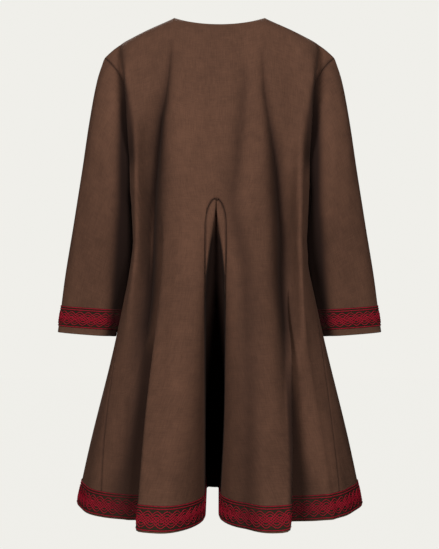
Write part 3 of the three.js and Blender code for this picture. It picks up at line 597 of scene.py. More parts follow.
def wall_mesh(name, cloth, seams=(), level_tops=None, free_edges=(), wall=WALL):
    """A closed wall behind a cloth's outer face. seams are (line, depth, width) grooves, with painted
    shade along them, and level_tops says which boundary points turn level, as at a shoulder. A piece that
    meets an earlier one shares its direction along their seam, so the two walls meet on one face."""
    points, uvs, faces = cloth.merged()
    normals, reach = point_normals(points, faces)
    if level_tops is not None:
        level = level_tops(points)
        normals[level, 1] = 0
        normals /= np.linalg.norm(normals, axis=1)[:, None]
        reach[level] = 1.3
    ordered = np.concatenate([faces[:, [k, (k + 1) % 4]] for k in range(4)])
    ordered = ordered[ordered[:, 0] != ordered[:, 1]]
    edges = np.sort(ordered, axis=1)
    _, place, number = np.unique(edges, axis=0, return_inverse=True, return_counts=True)
    rim = ordered[number[place.reshape(-1)] == 1]
    on_rim = np.unique(rim)
    sink = normals.copy()
    for n in on_rim:
        key = tuple(np.round(points[n], 1))
        if key not in sewn:
            sewn[key] = normals[n].copy()
            continue
        sink[n] = sewn[key]
        square = float(sewn[key] @ normals[n])
        if square > 0.3:
            normals[n] = sewn[key]
            reach[n] = 1 / max(square, 0.6)
    dent = np.zeros(len(points))
    # deep holds painted shade: here along the seams' grooves, by their depth; the folds' painted shade is
    # added later.
    deep = np.zeros(len(points))
    for line, depth, width in seams:
        near = np.exp(-((near_line(points, line) / width) ** 2))
        dent = np.maximum(dent, depth * near)
        deep = np.maximum(deep, min(0.75, 0.2 + 0.35 * depth) * near)
    points = points - sink * dent[:, None]
    middles = points[faces].mean(1)
    inside = np.zeros_like(points)
    for corner in range(4):
        np.add.at(inside, faces[:, corner], middles - points[faces[:, corner]])
    outward = np.zeros_like(points)
    outward[on_rim] = -inside[on_rim]
    outward[on_rim] -= normals[on_rim] * (outward[on_rim] * normals[on_rim]).sum(1)[:, None]
    outward[on_rim] /= np.maximum(np.linalg.norm(outward[on_rim], axis=1), 1e-9)[:, None]
    points[on_rim] -= outward[on_rim] * min(0.4, wall * 0.25)
    inner = points - normals * (wall * reach)[:, None]
    count = len(points)
    rim_index = np.zeros(count, int)
    rim_index[on_rim] = np.arange(len(on_rim))
    rounded = (points[on_rim] + inner[on_rim]) / 2 + outward[on_rim] * min(0.6, wall * 0.34)
    everything = np.concatenate([points, inner, rounded]) / 1000
    a, b = rim[:, 0], rim[:, 1]
    ra, rb = rim_index[a] + 2 * count, rim_index[b] + 2 * count
    outer_rim = np.stack([b, a, ra, rb], 1)
    inner_rim = np.stack([rb, ra, a + count, b + count], 1)
    all_faces = np.concatenate([faces, faces[:, ::-1] + count, outer_rim, inner_rim])
    all_uvs = np.concatenate([uvs, uvs, uvs[on_rim]]) / 1000
    wear = np.zeros(len(everything))
    for line in free_edges:
        d = near_line(np.concatenate([points, inner, rounded]), line)
        wear = np.maximum(wear, np.exp(-d / 3.0))
    deep = np.concatenate([deep, deep, deep[on_rim]])
    return make_piece(name, everything, all_faces, all_uvs, {"wear": wear, "deep": deep})


def make_piece(name, points, faces, uvs, values):
    """A mesh object from points in metres; a face whose corners meet is left out or made smaller."""
    corners = [tuple(dict.fromkeys(face)) for face in faces.tolist()]
    mesh = bpy.data.meshes.new(name)
    mesh.from_pydata(points.tolist(), [], [face for face in corners if len(face) > 2])
    layer = mesh.uv_layers.new(name="cut")
    places = np.empty(len(mesh.loops), np.int32)
    mesh.loops.foreach_get("vertex_index", places)
    layer.data.foreach_set("uv", uvs[places].astype(np.float32).ravel())
    for label, share in values.items():
        mesh.attributes.new(label, "FLOAT", "POINT").data.foreach_set("value", share.astype(np.float32))
    mesh.polygons.foreach_set("use_smooth", np.ones(len(mesh.polygons), bool))
    mesh.update()
    piece = bpy.data.objects.new(name, mesh)
    bpy.context.scene.collection.objects.link(piece)
    return piece


# Colours are linear.
WOOL_DARK = (0.079, 0.037, 0.0223, 1)
WOOL_LIGHT = (0.128, 0.0595, 0.0357, 1)
WOOL_WORN = (0.18, 0.098, 0.062, 1)
# The colour that the painted shade in folds and seam grooves turns the wool towards.
WOOL_PAINTED_SHADE = (0.017, 0.0073, 0.0048, 1)
THREAD_PITCH = 0.0021


def wool(name, dark=WOOL_DARK, light=WOOL_LIGHT, worn=WOOL_WORN):
    """Fulled and brushed wool: a faint thread grid under a soft nap, paler where it is rubbed. It is
    darkened inside the folds and along the seams, which stands for the shade they hold and isn't a
    colour of the cloth."""
    made = bpy.data.materials.new(name)
    made.use_nodes = True
    nodes, links = made.node_tree.nodes, made.node_tree.links
    shader = nodes["Principled BSDF"]
    shader.inputs["Roughness"].default_value = 0.92
    shader.inputs["Specular IOR Level"].default_value = 0.18
    shader.inputs["Sheen Weight"].default_value = 0.06
    shader.inputs["Sheen Roughness"].default_value = 0.45
    shader.inputs["Sheen Tint"].default_value = (0.55, 0.4, 0.32, 1)

    def node(kind, **values):
        made_node = nodes.new(kind)
        for key, value in values.items():
            if hasattr(made_node, key):
                setattr(made_node, key, value)
            else:
                made_node.inputs[key].default_value = value
        return made_node

    cut = node("ShaderNodeUVMap", uv_map="cut")
    place = node("ShaderNodeTexCoord")

    def noise(source, stretch, scale, detail):
        turn = node("ShaderNodeMapping")
        turn.inputs["Scale"].default_value = stretch
        links.new(source, turn.inputs["Vector"])
        made_noise = node("ShaderNodeTexNoise", Scale=scale, Detail=detail, Roughness=0.6)
        links.new(turn.outputs["Vector"], made_noise.inputs["Vector"])
        return made_noise.outputs["Fac"]

    def maths(operation, a, b=None, c=None):
        made_maths = node("ShaderNodeMath", operation=operation)
        for socket, value in zip(made_maths.inputs, (a, b, c)):
            if value is None:
                continue
            if isinstance(value, (int, float)):
                socket.default_value = value
            else:
                links.new(value, socket)
        return made_maths.outputs["Value"]

    split = node("ShaderNodeSeparateXYZ")
    links.new(cut.outputs["UV"], split.inputs["Vector"])
    thread = 2 * math.pi / THREAD_PITCH
    weft = maths("SINE", maths("MULTIPLY", split.outputs["X"], thread))
    warp = maths("SINE", maths("MULTIPLY", split.outputs["Y"], thread))
    weave = maths("MULTIPLY", weft, warp)
    slub_long = noise(cut.outputs["UV"], (1.0, 0.09, 1.0), 420, 3)
    slub_wide = noise(cut.outputs["UV"], (0.09, 1.0, 1.0), 420, 3)
    nap = noise(place.outputs["Object"], (1, 1, 1), 900, 4)
    cloud = noise(place.outputs["Object"], (1, 1, 0.55), 9, 3)
    patch = noise(place.outputs["Object"], (1, 1, 1), 38, 4)

    shade = maths("MULTIPLY_ADD", slub_long, 0.42, maths("MULTIPLY", slub_wide, 0.34))
    shade = maths("MULTIPLY_ADD", nap, 0.34, shade)
    shade = maths("MULTIPLY_ADD", cloud, 0.42, shade)
    shade = maths("MULTIPLY_ADD", patch, 0.3, shade)
    shade = maths("MULTIPLY_ADD", weave, 0.025, shade)
    spread = node("ShaderNodeMapRange")
    spread.inputs["From Min"].default_value = 0.75
    spread.inputs["From Max"].default_value = 1.07
    links.new(shade, spread.inputs["Value"])
    tone = node("ShaderNodeMix", data_type="RGBA")
    tone.inputs[6].default_value = dark
    tone.inputs[7].default_value = light
    links.new(spread.outputs["Result"], tone.inputs[0])
    rubbed = node("ShaderNodeAttribute", attribute_name="wear")
    lift = maths("MULTIPLY", rubbed.outputs["Fac"], maths("MULTIPLY", patch, 0.9))
    edge = node("ShaderNodeMix", data_type="RGBA")
    edge.inputs[7].default_value = worn
    links.new(lift, edge.inputs[0])
    links.new(tone.outputs[2], edge.inputs[6])
    # Painted shade: the colour turns towards the painted-shade colour by the deep attribute.
    fold_shade = node("ShaderNodeAttribute", attribute_name="deep")
    painted_shade_mix = node("ShaderNodeMix", data_type="RGBA")
    painted_shade_mix.inputs[7].default_value = WOOL_PAINTED_SHADE
    links.new(fold_shade.outputs["Fac"], painted_shade_mix.inputs[0])
    links.new(edge.outputs[2], painted_shade_mix.inputs[6])
    links.new(painted_shade_mix.outputs[2], shader.inputs["Base Color"])

    height = maths("MULTIPLY_ADD", weave, 0.12, maths("MULTIPLY", nap, 0.9))
    height = maths("MULTIPLY_ADD", slub_long, 0.7, height)
    height = maths("MULTIPLY_ADD", slub_wide, 0.5, height)
    height = maths("MULTIPLY_ADD", patch, 1.0, height)
    bump = node("ShaderNodeBump", Strength=0.55, Distance=0.0006)
    links.new(height, bump.inputs["Height"])
    links.new(bump.outputs["Normal"], shader.inputs["Normal"])
    return made


brown_wool = wool("brown wool")


def paint_shade(piece, share_at):
    """Darkens a piece by how deep in a fold each point lies, in place of the fold's own shade."""
    places = np.empty(3 * len(piece.data.vertices), np.float32)
    piece.data.vertices.foreach_get("co", places)
    x, y, z = places.reshape(-1, 3).T * 1000
    layer = piece.data.attributes["deep"].data
    before = np.empty(len(x), np.float32)
    layer.foreach_get("value", before)
    layer.foreach_set("value", np.maximum(before, np.clip(share_at(x, y, -z), 0, 1)).astype(np.float32))


# Painted shade beside the lobes: it starts past each lobe's edge, a bearing, and fades outwards from x.
SHADE_BESIDE_LOBES = [
    table(
        "drop x outer share edge",
        (640, 148, 14, 0, 47),
        (744, 154, 24, 0.8, 44),
        (831, 164, 24, 0.85, 41.5),
        (918, 178, 26, 0.82, 39.3),
        (1005, 190, 38, 0.74, 37),
        (1060, 195, 42, 0.5, 35.8),
    ),
    table(
        "drop x outer share edge",
        (700, -146, 8, 0, 45),
        (760, -147, 7, 0.6, 43),
        (831, -151, 11, 0.85, 39),
        (918, -158, 15, 0.8, 35),
        (1005, -166, 34, 0.72, 31.5),
        (1060, -172, 38, 0.5, 29.6),
    ),
]


def behind(x, y, drop):
    """How much painted shade the back takes, in its hollows, beside the lobes' edges and along the
    armholes.
    """
    share = 0 * x
    for line, strength, full_depth in zip(HOLLOWS, (1.0, 0.97, 0.5), (34, 34, 9)):
        middle, depth = line["x"](drop), line["depth"](drop)
        away = (x - middle) * np.sign(middle) + line["lean"](drop) * depth
        outer = (0.6 + 0.45 * ease((drop - 400) / 250)) * line["outer"](drop)
        away = away / np.where(away < 0, 0.87 * line["inner"](drop), outer)
        full = np.clip(depth / full_depth, 0, 1) ** 0.7
        share = np.maximum(share, strength * full * np.exp(-((away * away + 0.01) ** 0.8)))
    for turn, line in zip((1, -1), SHADE_BESIDE_LOBES):
        away = np.maximum(turn * (x - line["x"](drop)), 0) / line["outer"](drop)
        past = ease((turn * np.degrees(np.arctan2(x, y)) - line["edge"](drop)) / 2.5)
        share = np.maximum(share, past * line["share"](drop) * np.exp(-away * away))
    off = np.abs(x) - np.interp(drop, *ARM_LINE)
    near = np.exp(-((np.clip(-off, 0, 99) / 7) ** 2)) * np.clip((drop - 92) / 40, 0, 1)
    return np.maximum(share, 0.8 * near * (1 - ease((drop - 300) / 60))) * ease(y / 30)


arm_shares = np.linspace(0, 1, 40)
ARM_LINE = (ARMHOLE["drop"](arm_shares), ARMHOLE["x"](arm_shares))


def finish_cloth(piece, node):
    piece.data.materials.append(brown_wool)
    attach(piece, "root")
    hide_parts(node)


# Lines of the seams, as dense points, taken from the pieces' own edges.
fine_shares = steps((0, 0.12, 12), (0.12, 1, 62))
fine_middles = steps((ARMPIT, SLIT_FOOT, 24))
fine_drops = steps((SLIT_FOOT, LENGTH, 118))
half_columns = steps(
    (0, ARCH, 14),
    (ARCH, 3.3, 3),
    (3.3, CREST, 20),
    (CREST, EDGE, 10),
    (EDGE, VALLEY, 34),
    (VALLEY, 22.6, 22),
    (22.6, SIDE, 5),
)
both_columns = np.concatenate([-half_columns[:0:-1], half_columns])


def both_sides(surface):
    def at(u, v):
        left, right = surface(1, np.abs(u), v), surface(-1, np.abs(u), v)
        return np.where((u >= 0)[..., None], left, right)

    return at


back_grids = {
    "upper": grid_of(both_sides(back_upper), both_columns, fine_shares),
    "middle": grid_of(both_sides(back_middle), both_columns, fine_middles),
}
lobe_columns = half_columns[half_columns >= ARCH - 1e-9]
back_grids["left"] = grid_of(lambda u, v: back_lobe(1, u, v), lobe_columns, fine_drops)
back_grids["right"] = grid_of(lambda u, v: back_lobe(-1, u, v), lobe_columns[::-1], fine_drops)
foot_row = grid_of(both_sides(back_lobe), both_columns, [SLIT_FOOT, SLIT_FOOT + 1])[0]
back_grids["middle"][0] = back_grids["upper"][-1]
back_grids["middle"][-1] = foot_row
in_left = both_columns >= ARCH - 1e-9
in_right = both_columns <= -ARCH + 1e-9
back_grids["left"][0] = foot_row[in_left]
back_grids["right"][0] = foot_row[in_right]
arch_line = foot_row[(both_columns >= -ARCH - 1e-9) & (both_columns <= ARCH + 1e-9)]
slit_line = np.concatenate([arch_line, back_grids["left"][:, 0], back_grids["right"][:, -1]])

back_cloth = Cloth()
for grid in back_grids.values():
    back_cloth.add(grid)
neck_columns = np.abs(both_columns) <= 15
neck_back = back_grids["upper"][0][neck_columns]
shoulder_line = back_grids["upper"][0][~neck_columns]
armhole_back = np.concatenate([back_grids["upper"][:, 0], back_grids["upper"][:, -1]])
side_back = np.concatenate(
    [
        back_grids["middle"][:, 0],
        back_grids["middle"][:, -1],
        back_grids["left"][:, -1],
        back_grids["right"][:, 0],
    ]
)
hem_back = np.concatenate([back_grids["left"][-1], back_grids["right"][-1]])
# How deep and how wide the groove of each seam is.
SLIT_SEAM, SHOULDER_SEAM, ARMHOLE_SEAM, SIDE_SEAM = (1.6, 2.2), (0.7, 2.5), (1.2, 2.6), (0.9, 2.2)


def at_shoulder(p):
    return (np.abs(p[:, 1]) < 1.2) & (p[:, 2] > -86) & (np.abs(p[:, 0]) > NECK_HALF - 2)


back_panel = wall_mesh(
    "back_panel_cloth",
    back_cloth,
    seams=[
        (slit_line, *SLIT_SEAM),
        (shoulder_line, *SHOULDER_SEAM),
        (armhole_back, *ARMHOLE_SEAM),
        (side_back, *SIDE_SEAM),
    ],
    level_tops=at_shoulder,
    free_edges=[neck_back, hem_back],
)
# Painted shade in the back's hollows, beside the lobes and along the armholes.
paint_shade(back_panel, behind)
finish_cloth(back_panel, "back_panel")

# ---------------------------------------------------------------------------
# Back gore: a wedge of the same wool let into the slit. Its edges puff a little beside the seam,
# then it falls in as one deep pleat with its ground line shorter than the hem.

GORE_ROLL, GORE_END, PLEAT_LIFT, GORE_PUFF = 0.74, 0.16, 20.0, 3.4


def gore_surface(across, drop):
    """A point of the gore; across runs from -1 at one seam through the pleat's line to 1."""
    turn, m = np.where(across < 0, -1.0, 1.0), np.abs(across)
    low = np.clip((drop - (SLIT_FOOT - SLIT_RISE)) / SLIT_RISE, 0, 1)
    half = np.where(drop < SLIT_FOOT, SLIT_HALF * np.sqrt(1 - (1 - low) ** 2), PLEAT["half"](drop))
    cleft = PLEAT["cleft"](drop)
    sink = PLEAT["sink"](np.maximum(drop, SLIT_FOOT)) * low
    seam_x = PLEAT["centre"](drop) + turn * half
    seam_y = body(bearing_at(seam_x, drop), drop)[..., 1] - sink
    roll = np.minimum(PLEAT["roll"](drop), 0.45 * np.maximum(1.5, seam_y - PLEAT["end"](drop)))
    end = np.minimum(PLEAT["end"](drop), seam_y - roll - 1.2)
    rounded = np.minimum(cleft, 0.8 * (seam_y - roll - end))
    turned = np.radians(90 * np.clip((m - GORE_ROLL) / (1 - GORE_ROLL), 0, 1))
    bend = np.radians(90 * np.clip(m / GORE_END, 0, 1))
    wall = np.clip((m - GORE_END) / (GORE_ROLL - GORE_END), 0, 1)
    x = np.where(m >= GORE_ROLL, cleft + (half - cleft) * (1 - np.cos(turned)), cleft)
    x = np.where(m < GORE_END, cleft * np.sin(bend), x)
    straight = mix(end + rounded, seam_y - roll, wall)
    y = np.where(m >= GORE_ROLL, seam_y - roll * (1 - np.sin(turned)), straight)
    y = np.where(m < GORE_END, end + rounded * (1 - np.cos(bend)), y)
    puffed = ease((drop - 396) / 40) * (1 - ease((drop - 500) / 170))
    y = y + GORE_PUFF * puffed * np.sin(np.pi * np.clip((m - 0.62) / 0.38, 0, 1)) ** 0.8
    lift = PLEAT_LIFT * (1 - np.minimum(1, m / GORE_ROLL)) ** 1.4 * ease((drop - 880) / (LENGTH - 880))
    return np.stack([PLEAT["centre"](drop) + turn * x, y, -drop + lift], -1)


gore_side = steps((0, 0.16, 7), (0.16, 0.62, 18), (0.62, 1, 22))
gore_across = np.concatenate([-gore_side[:0:-1], gore_side])
arch_columns = half_columns[(half_columns > 0) & (half_columns < ARCH - 1e-9)]
arch_drops = SLIT_FOOT - SLIT_RISE * np.sin(arch_angle(arch_columns))
gore_rows = np.concatenate([arch_drops, fine_drops])
gore_grid = grid_of(gore_surface, gore_across, gore_rows)
ends = {}
for turn, lobe, at in ((1, back_grids["left"], 0), (-1, back_grids["right"], -1)):
    in_arch = [foot_row[np.argmin(np.abs(both_columns - turn * c))] for c in arch_columns]
    ends[turn] = np.concatenate([in_arch, lobe[:, at]])
for turn, column in ((1, -1), (-1, 0)):
    miss = ends[turn] - gore_grid[:, column]
    near_edge = np.clip((turn * gore_across - 0.5) / 0.5, 0, 1) ** 2
    gore_grid += miss[:, None, :] * near_edge[None, :, None]
tip = np.broadcast_to(foot_row[np.argmin(np.abs(both_columns))], gore_grid[:1].shape)
gore_grid = np.concatenate([tip, gore_grid])

gore_cloth = Cloth()
gore_cloth.add(gore_grid)
back_gore = wall_mesh(
    "back_gore_cloth",
    gore_cloth,
    seams=[(slit_line, *SLIT_SEAM)],
    free_edges=[gore_grid[-1]],
)


def pleat_painted_shade(x, y, drop):
    """Painted shade on the gore, by how far it lies behind the plain line of the back."""
    return 0.97 * ease((body(0 * x, drop)[:, 1] - y - 9) / 26)


paint_shade(back_gore, pleat_painted_shade)
finish_cloth(back_gore, "back_gore")

# ---------------------------------------------------------------------------
# Front panel: one uncut width of the same wool from the shoulder seams to the hem, with a lower
# neckline. It is sewn at the shoulders, armholes and sides, and hangs in two soft lobes beside a
# middle valley, with an overhanging edge towards each side.

FRONT_COLUMNS = dict(crest=6.0, edge=9.0, valley=15.0, side=20.0)


def front_surface(column, row, above):
    """A point of the front panel; row is a share of the upper body if above, and else a drop."""
    off = np.interp(
        np.abs(column),
        [0, FRONT_COLUMNS["crest"], FRONT_COLUMNS["edge"], FRONT_COLUMNS["valley"]],
        [0, KNOTS["crest"], KNOTS["edge"][0], KNOTS["valley"][0]],
    )
    outer = (np.abs(column) - FRONT_COLUMNS["valley"]) / (FRONT_COLUMNS["side"] - FRONT_COLUMNS["valley"])
    side = 90.0 if above else side_edge(row)
    off = np.where(outer > 0, mix(KNOTS["valley"][0], side, outer), off)
    off = np.where(column < 0, -off, off)
    return upper(-1, off, row) if above else body(180 - off, row)


front_half = steps((0, 6, 34), (6, 9, 13), (9, 15, 34), (15, 19.6, 22), (19.6, 20, 5))
front_columns = np.concatenate([-front_half[:0:-1], front_half])
front_upper = grid_of(lambda u, v: front_surface(u, v, True), front_columns, fine_shares)
front_drops = np.concatenate([fine_middles[:-1], fine_drops])
front_lower = grid_of(lambda u, v: front_surface(u, v, False), front_columns, front_drops)
front_lower[0] = front_upper[-1]

front_cloth = Cloth()
front_cloth.add(front_upper, backward=True)
front_cloth.add(front_lower, backward=True)
in_neck = np.abs(front_columns) <= 12
armhole_front = np.concatenate([front_upper[:, 0], front_upper[:, -1]])
side_front = np.concatenate([front_lower[:, 0], front_lower[:, -1]])
front_panel = wall_mesh(
    "front_panel_cloth",
    front_cloth,
    seams=[(shoulder_line, *SHOULDER_SEAM), (armhole_front, *ARMHOLE_SEAM), (side_front, *SIDE_SEAM)],
    level_tops=at_shoulder,
    free_edges=[front_upper[0][in_neck], front_lower[-1]],
)
finish_cloth(front_panel, "front_panel")

# ---------------------------------------------------------------------------
# Side gores: a wedge of wool let into each side seam from the hip down, which gives the hem its
# width. Each is cut to a point and sewn to both panels.

gore_widths = np.linspace(-1, 1, 41)
for name, turn in (("left", 1), ("right", -1)):
    side_grid = grid_of(
        lambda u, v: body(turn * (90 + u * (90 - side_edge(v))), v), gore_widths, fine_drops
    )
    side_grid[0] = side_grid[0].mean(0)
    side_cloth = Cloth()
    side_cloth.add(side_grid, backward=turn < 0)
    side_gore = wall_mesh(
        "side_gore_" + name + "_cloth",
        side_cloth,
        seams=[(side_grid[:, 0], *SIDE_SEAM), (side_grid[:, -1], *SIDE_SEAM)],
        free_edges=[side_grid[-1]],
    )
    finish_cloth(side_gore, "side_gore_" + name)

# ---------------------------------------------------------------------------
# Sleeves: a tapering tube of the same wool sewn into each dropped armhole. It bends a little at
# the elbow, with a long crease along the inner back of the arm.

SLEEVE = table(
    "share outX outDrop inX inDrop y deep",
    (0, 250, 87, 182, 330, 0, 52),
    (0.08, 266, 135, 184.5, 357, -2, 57),
    (0.22, 283, 221, 187.5, 404, -6, 60),
    (0.4, 299.5, 329, 186.5, 460, -12, 58),
    (0.6, 320.5, 449, 192, 525, -22, 51),
    (0.8, 341.5, 568, 204, 589, -33, 42),
    (0.9, 350, 626, 214, 635, -38.5, 38),
    (1, 359, 685, 229.5, 695, -44, 34),
)
# Painted shade on the cloth between the arm and the body: it is full up to x, and spreads past it.
SLEEVE_PAINTED_SHADE = table(
    "drop x spread share",
    (95, 226, 5, 0),
    (130, 213, 7, 0.6),
    (170, 206, 10, 0.9),
    (265, 207, 11, 1),
    (330, 207, 12, 1),
    (400, 208, 12, 1),
    (483, 214, 15, 1),
    (570, 222, 15, 1),
    (657, 232, 13, 1),
    (695, 238, 13, 1),
)
SLEEVE_CREASE = dict(turn=148.0, half=15.0, deep=7.0, start=0.3)
SLEEVE_BLEND = 0.34


def sleeve_drape(angle, share):
    a = np.radians(angle)
    swell = (
        np.sin(3 * a + 1.0 + 5 * share)
        + 0.7 * np.sin(5 * a + 9 * share + 2.0)
        + 0.5 * np.sin(8 * a - 14 * share)
    )
    return 0.9 * swell * ease(share / 0.25)


def sleeve_surface(turn, angle, share):
    c, s = np.cos(np.radians(angle)), np.sin(np.radians(angle))
    along = np.where(angle <= 180, angle, 360 - angle) / 180

    def oval(at):
        grown = np.clip((at - SLEEVE_CREASE["start"]) / (1 - SLEEVE_CREASE["start"]), 0, 1)
        u = (angle - SLEEVE_CREASE["turn"]) / SLEEVE_CREASE["half"]
        crease = SLEEVE_CREASE["deep"] * grown**0.8 * np.exp(-u * u)
        swell = sleeve_drape(angle, at)
        x = mix(SLEEVE["inX"](at), SLEEVE["outX"](at), (1 + c) / 2) + crease * 0.35 + swell * c * 0.5
        y = SLEEVE["y"](at) + SLEEVE["deep"](at) * s - crease + swell * s
        return np.stack([x, y, -mix(SLEEVE["inDrop"](at), SLEEVE["outDrop"](at), (1 + c) / 2)], -1)

    p = oval(share)
    blend = np.clip(1 - share / SLEEVE_BLEND, 0, 1) ** 2.4
    behind_arm = np.where(angle <= 180, 1, -1)
    seam = np.stack([ARMHOLE["x"](along), ARMHOLE["y"](along) * behind_arm, -ARMHOLE["drop"](along)], -1)
    p = p + (seam - oval(0 * share)) * blend[..., None]
    p[..., 0] *= turn
    return p


def sleeve_painted_shade(x, y, drop):
    """Painted shade on a sleeve, by how near the body it lies."""
    past = np.maximum(np.abs(x) - SLEEVE_PAINTED_SHADE["x"](drop), 0) / SLEEVE_PAINTED_SHADE["spread"](drop)
    return SLEEVE_PAINTED_SHADE["share"](drop) * np.exp(-past * past)


sleeve_angles = np.concatenate([180 * fine_shares, (360 - 180 * fine_shares[1:-1])[::-1]])
sleeve_shares = steps((0, 0.06, 10), (0.06, 0.9, 88), (0.9, 0.985, 12), (0.985, 1, 3))
for name, turn in (("left", 1), ("right", -1)):
    sleeve_grid = grid_of(lambda u, v: sleeve_surface(turn, u, v), sleeve_angles, sleeve_shares)
    side = -1 if turn > 0 else 0
    ring = np.concatenate([back_grids["upper"][:, side], front_upper[1:-1, side][::-1]])
    miss = ring - sleeve_grid[0]
    sleeve_grid += miss[None] * (np.clip(1 - sleeve_shares / 0.1, 0, 1) ** 2)[:, None, None]
    sleeve_cloth = Cloth()
    sleeve_cloth.add(sleeve_grid, backward=turn > 0, wrap=True)
    sleeve = wall_mesh(
        "sleeve_" + name + "_cloth",
        sleeve_cloth,
        seams=[(sleeve_grid[0], *ARMHOLE_SEAM)],
        free_edges=[sleeve_grid[-1]],
    )
    paint_shade(sleeve, sleeve_painted_shade)
    finish_cloth(sleeve, "sleeve_" + name)

# ---------------------------------------------------------------------------
# Hem braid: a woven strip of dark wool with crimson cords couched on it, three ribbons of three
# cords plaited between border cords. It is sewn on flat, all the way round the hem and the gore.

BAND_HEIGHT, BAND_FOOT, BAND_STAND, BAND_THICK = 48.0, 3.0, 0.3, 0.7
CORD_HALF, CORD_SPACING, CORD_LIFT, CORD_CROSSING = 1.05, 5.4, 0.18, 0.42
PLAIT_PERIOD, BORDER_INSET = 60.0, 1.6
PLAIT_LOW, PLAIT_HIGH, SECOND_LINE = 4.4, 9.4, 5.0


class Band:
    """A ring of cloth under a braid, with places given by distance round it and height on it."""

    def __init__(self, grid, step, backward=False):
        closed = np.concatenate([grid, grid[:, :1]], 1)
        middle = closed[len(closed) // 2]
        along = np.concatenate([[0], np.cumsum(np.linalg.norm(np.diff(middle, axis=0), axis=1))])
        self.length = along[-1]
        self.count = int(round(self.length / step))
        self.at = np.arange(self.count) * self.length / self.count
        self.points = np.stack(
            [np.stack([np.interp(self.at, along, row[:, k]) for k in range(3)], -1) for row in closed]
        )
        round_it = np.roll(self.points, -1, axis=1) - np.roll(self.points, 1, axis=1)
        down_it = np.gradient(self.points, axis=0)
        normals = np.cross(down_it, round_it) * (1 if backward else -1)
        normals = sum(np.roll(normals, k, axis=1) for k in (-2, -1, 0, 1, 2))
        self.normals = normals / np.linalg.norm(normals, axis=2)[..., None]
        down = np.linalg.norm(np.diff(self.points, axis=0), axis=2).mean(1)
        self.depth = np.concatenate([[0], np.cumsum(down)])
        self.height = self.depth[-1]
        self.backward = backward

    def place(self, along, height, out):
        u = (along / self.length * self.count) % self.count
        v = np.interp(self.height - height, self.depth, np.arange(len(self.depth)))
        i = np.floor(u).astype(int) % self.count
        j = np.minimum(np.floor(v).astype(int), len(self.depth) - 2)
        fu, fv = (u - np.floor(u))[..., None], (v - j)[..., None]
        k = (i + 1) % self.count
        both = []
        for field in (self.points, self.normals):
            top = mix(field[j, i], field[j, k], fu)
            low = mix(field[j + 1, i], field[j + 1, k], fu)
            both.append(mix(top, low, fv))
        normal = both[1] / np.linalg.norm(both[1], axis=-1)[..., None]
        return both[0] + normal * np.asarray(out)[..., None], normal


def plait_paths(band):
    """Each cord as (distance round, height, lift) at its own points, and if it runs right round."""
    repeats = max(3, int(round(band.length / PLAIT_PERIOD)))
    period = band.length / repeats
    reach = band.height - PLAIT_HIGH - PLAIT_LOW - 2 * CORD_SPACING
    slope = reach / (period / 2)
    corner = 0.16
    half = steps((0, corner, 3), (corner, 1 - corner, 5), (1 - corner, 1, 3))[:-1]
    phase = np.concatenate([n / 2 + half / 2 for n in range(2 * repeats)])
    wave = np.abs(((phase + 0.5) % 1) * 2 - 1)
    rising = np.where((phase % 1) < 0.5, 1.0, -1.0)
    near_turn = np.minimum(wave, 1 - wave)
    soft = np.where(near_turn < corner, corner / 2 - near_turn + near_turn**2 / (2 * corner), 0.0)
    level = np.where(wave < 0.5, wave + soft, wave - soft)
    lean = rising * np.clip(near_turn / corner, 0, 1)
    paths = []
    for ribbon in range(3):
        for cord in (-1, 0, 1):
            along = (phase + ribbon / 3) * period
            height = PLAIT_LOW + CORD_SPACING * (1 + cord) + level * reach
            crossing = (phase + lean * cord * CORD_SPACING / (2 * slope) / period) * 2 % 1
            lift = np.clip(1.9 * np.sin(2 * np.pi * crossing), -1, 1)
            paths.append((along, height, lift))
    around = band.at[::2]
    top_line = band.height - BORDER_INSET
    for height in (BORDER_INSET, top_line, top_line - SECOND_LINE):
        paths.append((around, 0 * around + height, 0 * around))
    return paths


CORD_SECTION = np.array([(-1, -0.35), (-0.72, 0.5), (0, 0.86), (0.72, 0.5), (1, -0.35)]) * CORD_HALF


def cord_mesh(name, band, top):
    """All cords of a braid, as closed half-round strands that lie on its strip."""
    points, uvs, faces, count = [], [], [], 0
    for along, height, lift in plait_paths(band):
        middle, normal = band.place(along, height, top + CORD_LIFT + CORD_CROSSING * lift)
        ahead = np.roll(middle, -1, axis=0) - np.roll(middle, 1, axis=0)
        ahead /= np.linalg.norm(ahead, axis=1)[:, None]
        across = np.cross(normal, ahead)
        across /= np.linalg.norm(across, axis=1)[:, None]
        ring = middle[:, None] + across[:, None] * CORD_SECTION[None, :, :1]
        ring = ring + normal[:, None] * CORD_SECTION[None, :, 1:]
        rows, width = ring.shape[:2]
        index = np.arange(rows * width).reshape(rows, width) + count
        following = np.roll(index, -1, axis=0)
        for k in range(width):
            n = (k + 1) % width
            faces.append(np.stack([index[:, k], following[:, k], following[:, n], index[:, n]], -1))
        length = np.concatenate([[0], np.cumsum(np.linalg.norm(np.diff(middle, axis=0), axis=1))])
        around = np.arange(width) / width
        uvs.append(np.stack(np.meshgrid(length / 1000, around, indexing="ij"), -1).reshape(-1, 2))
        points.append(ring.reshape(-1, 3))
        count += rows * width
    points = np.concatenate(points)
    # The cords' painted shade, empty until the braid fills it in.
    deep = {"deep": np.zeros(len(points))}
    return make_piece(name, points / 1000, np.concatenate(faces), np.concatenate(uvs), deep)


# The first colour is the one that the cords' painted shade turns them towards.
CRIMSON_PAINTED_SHADE = (0.055, 0.003, 0.007, 1)
CRIMSON = (0.42, 0.008, 0.028, 1)
CRIMSON_DEEP = (0.2, 0.005, 0.014, 1)


STRAND_TWIST = 0.0026


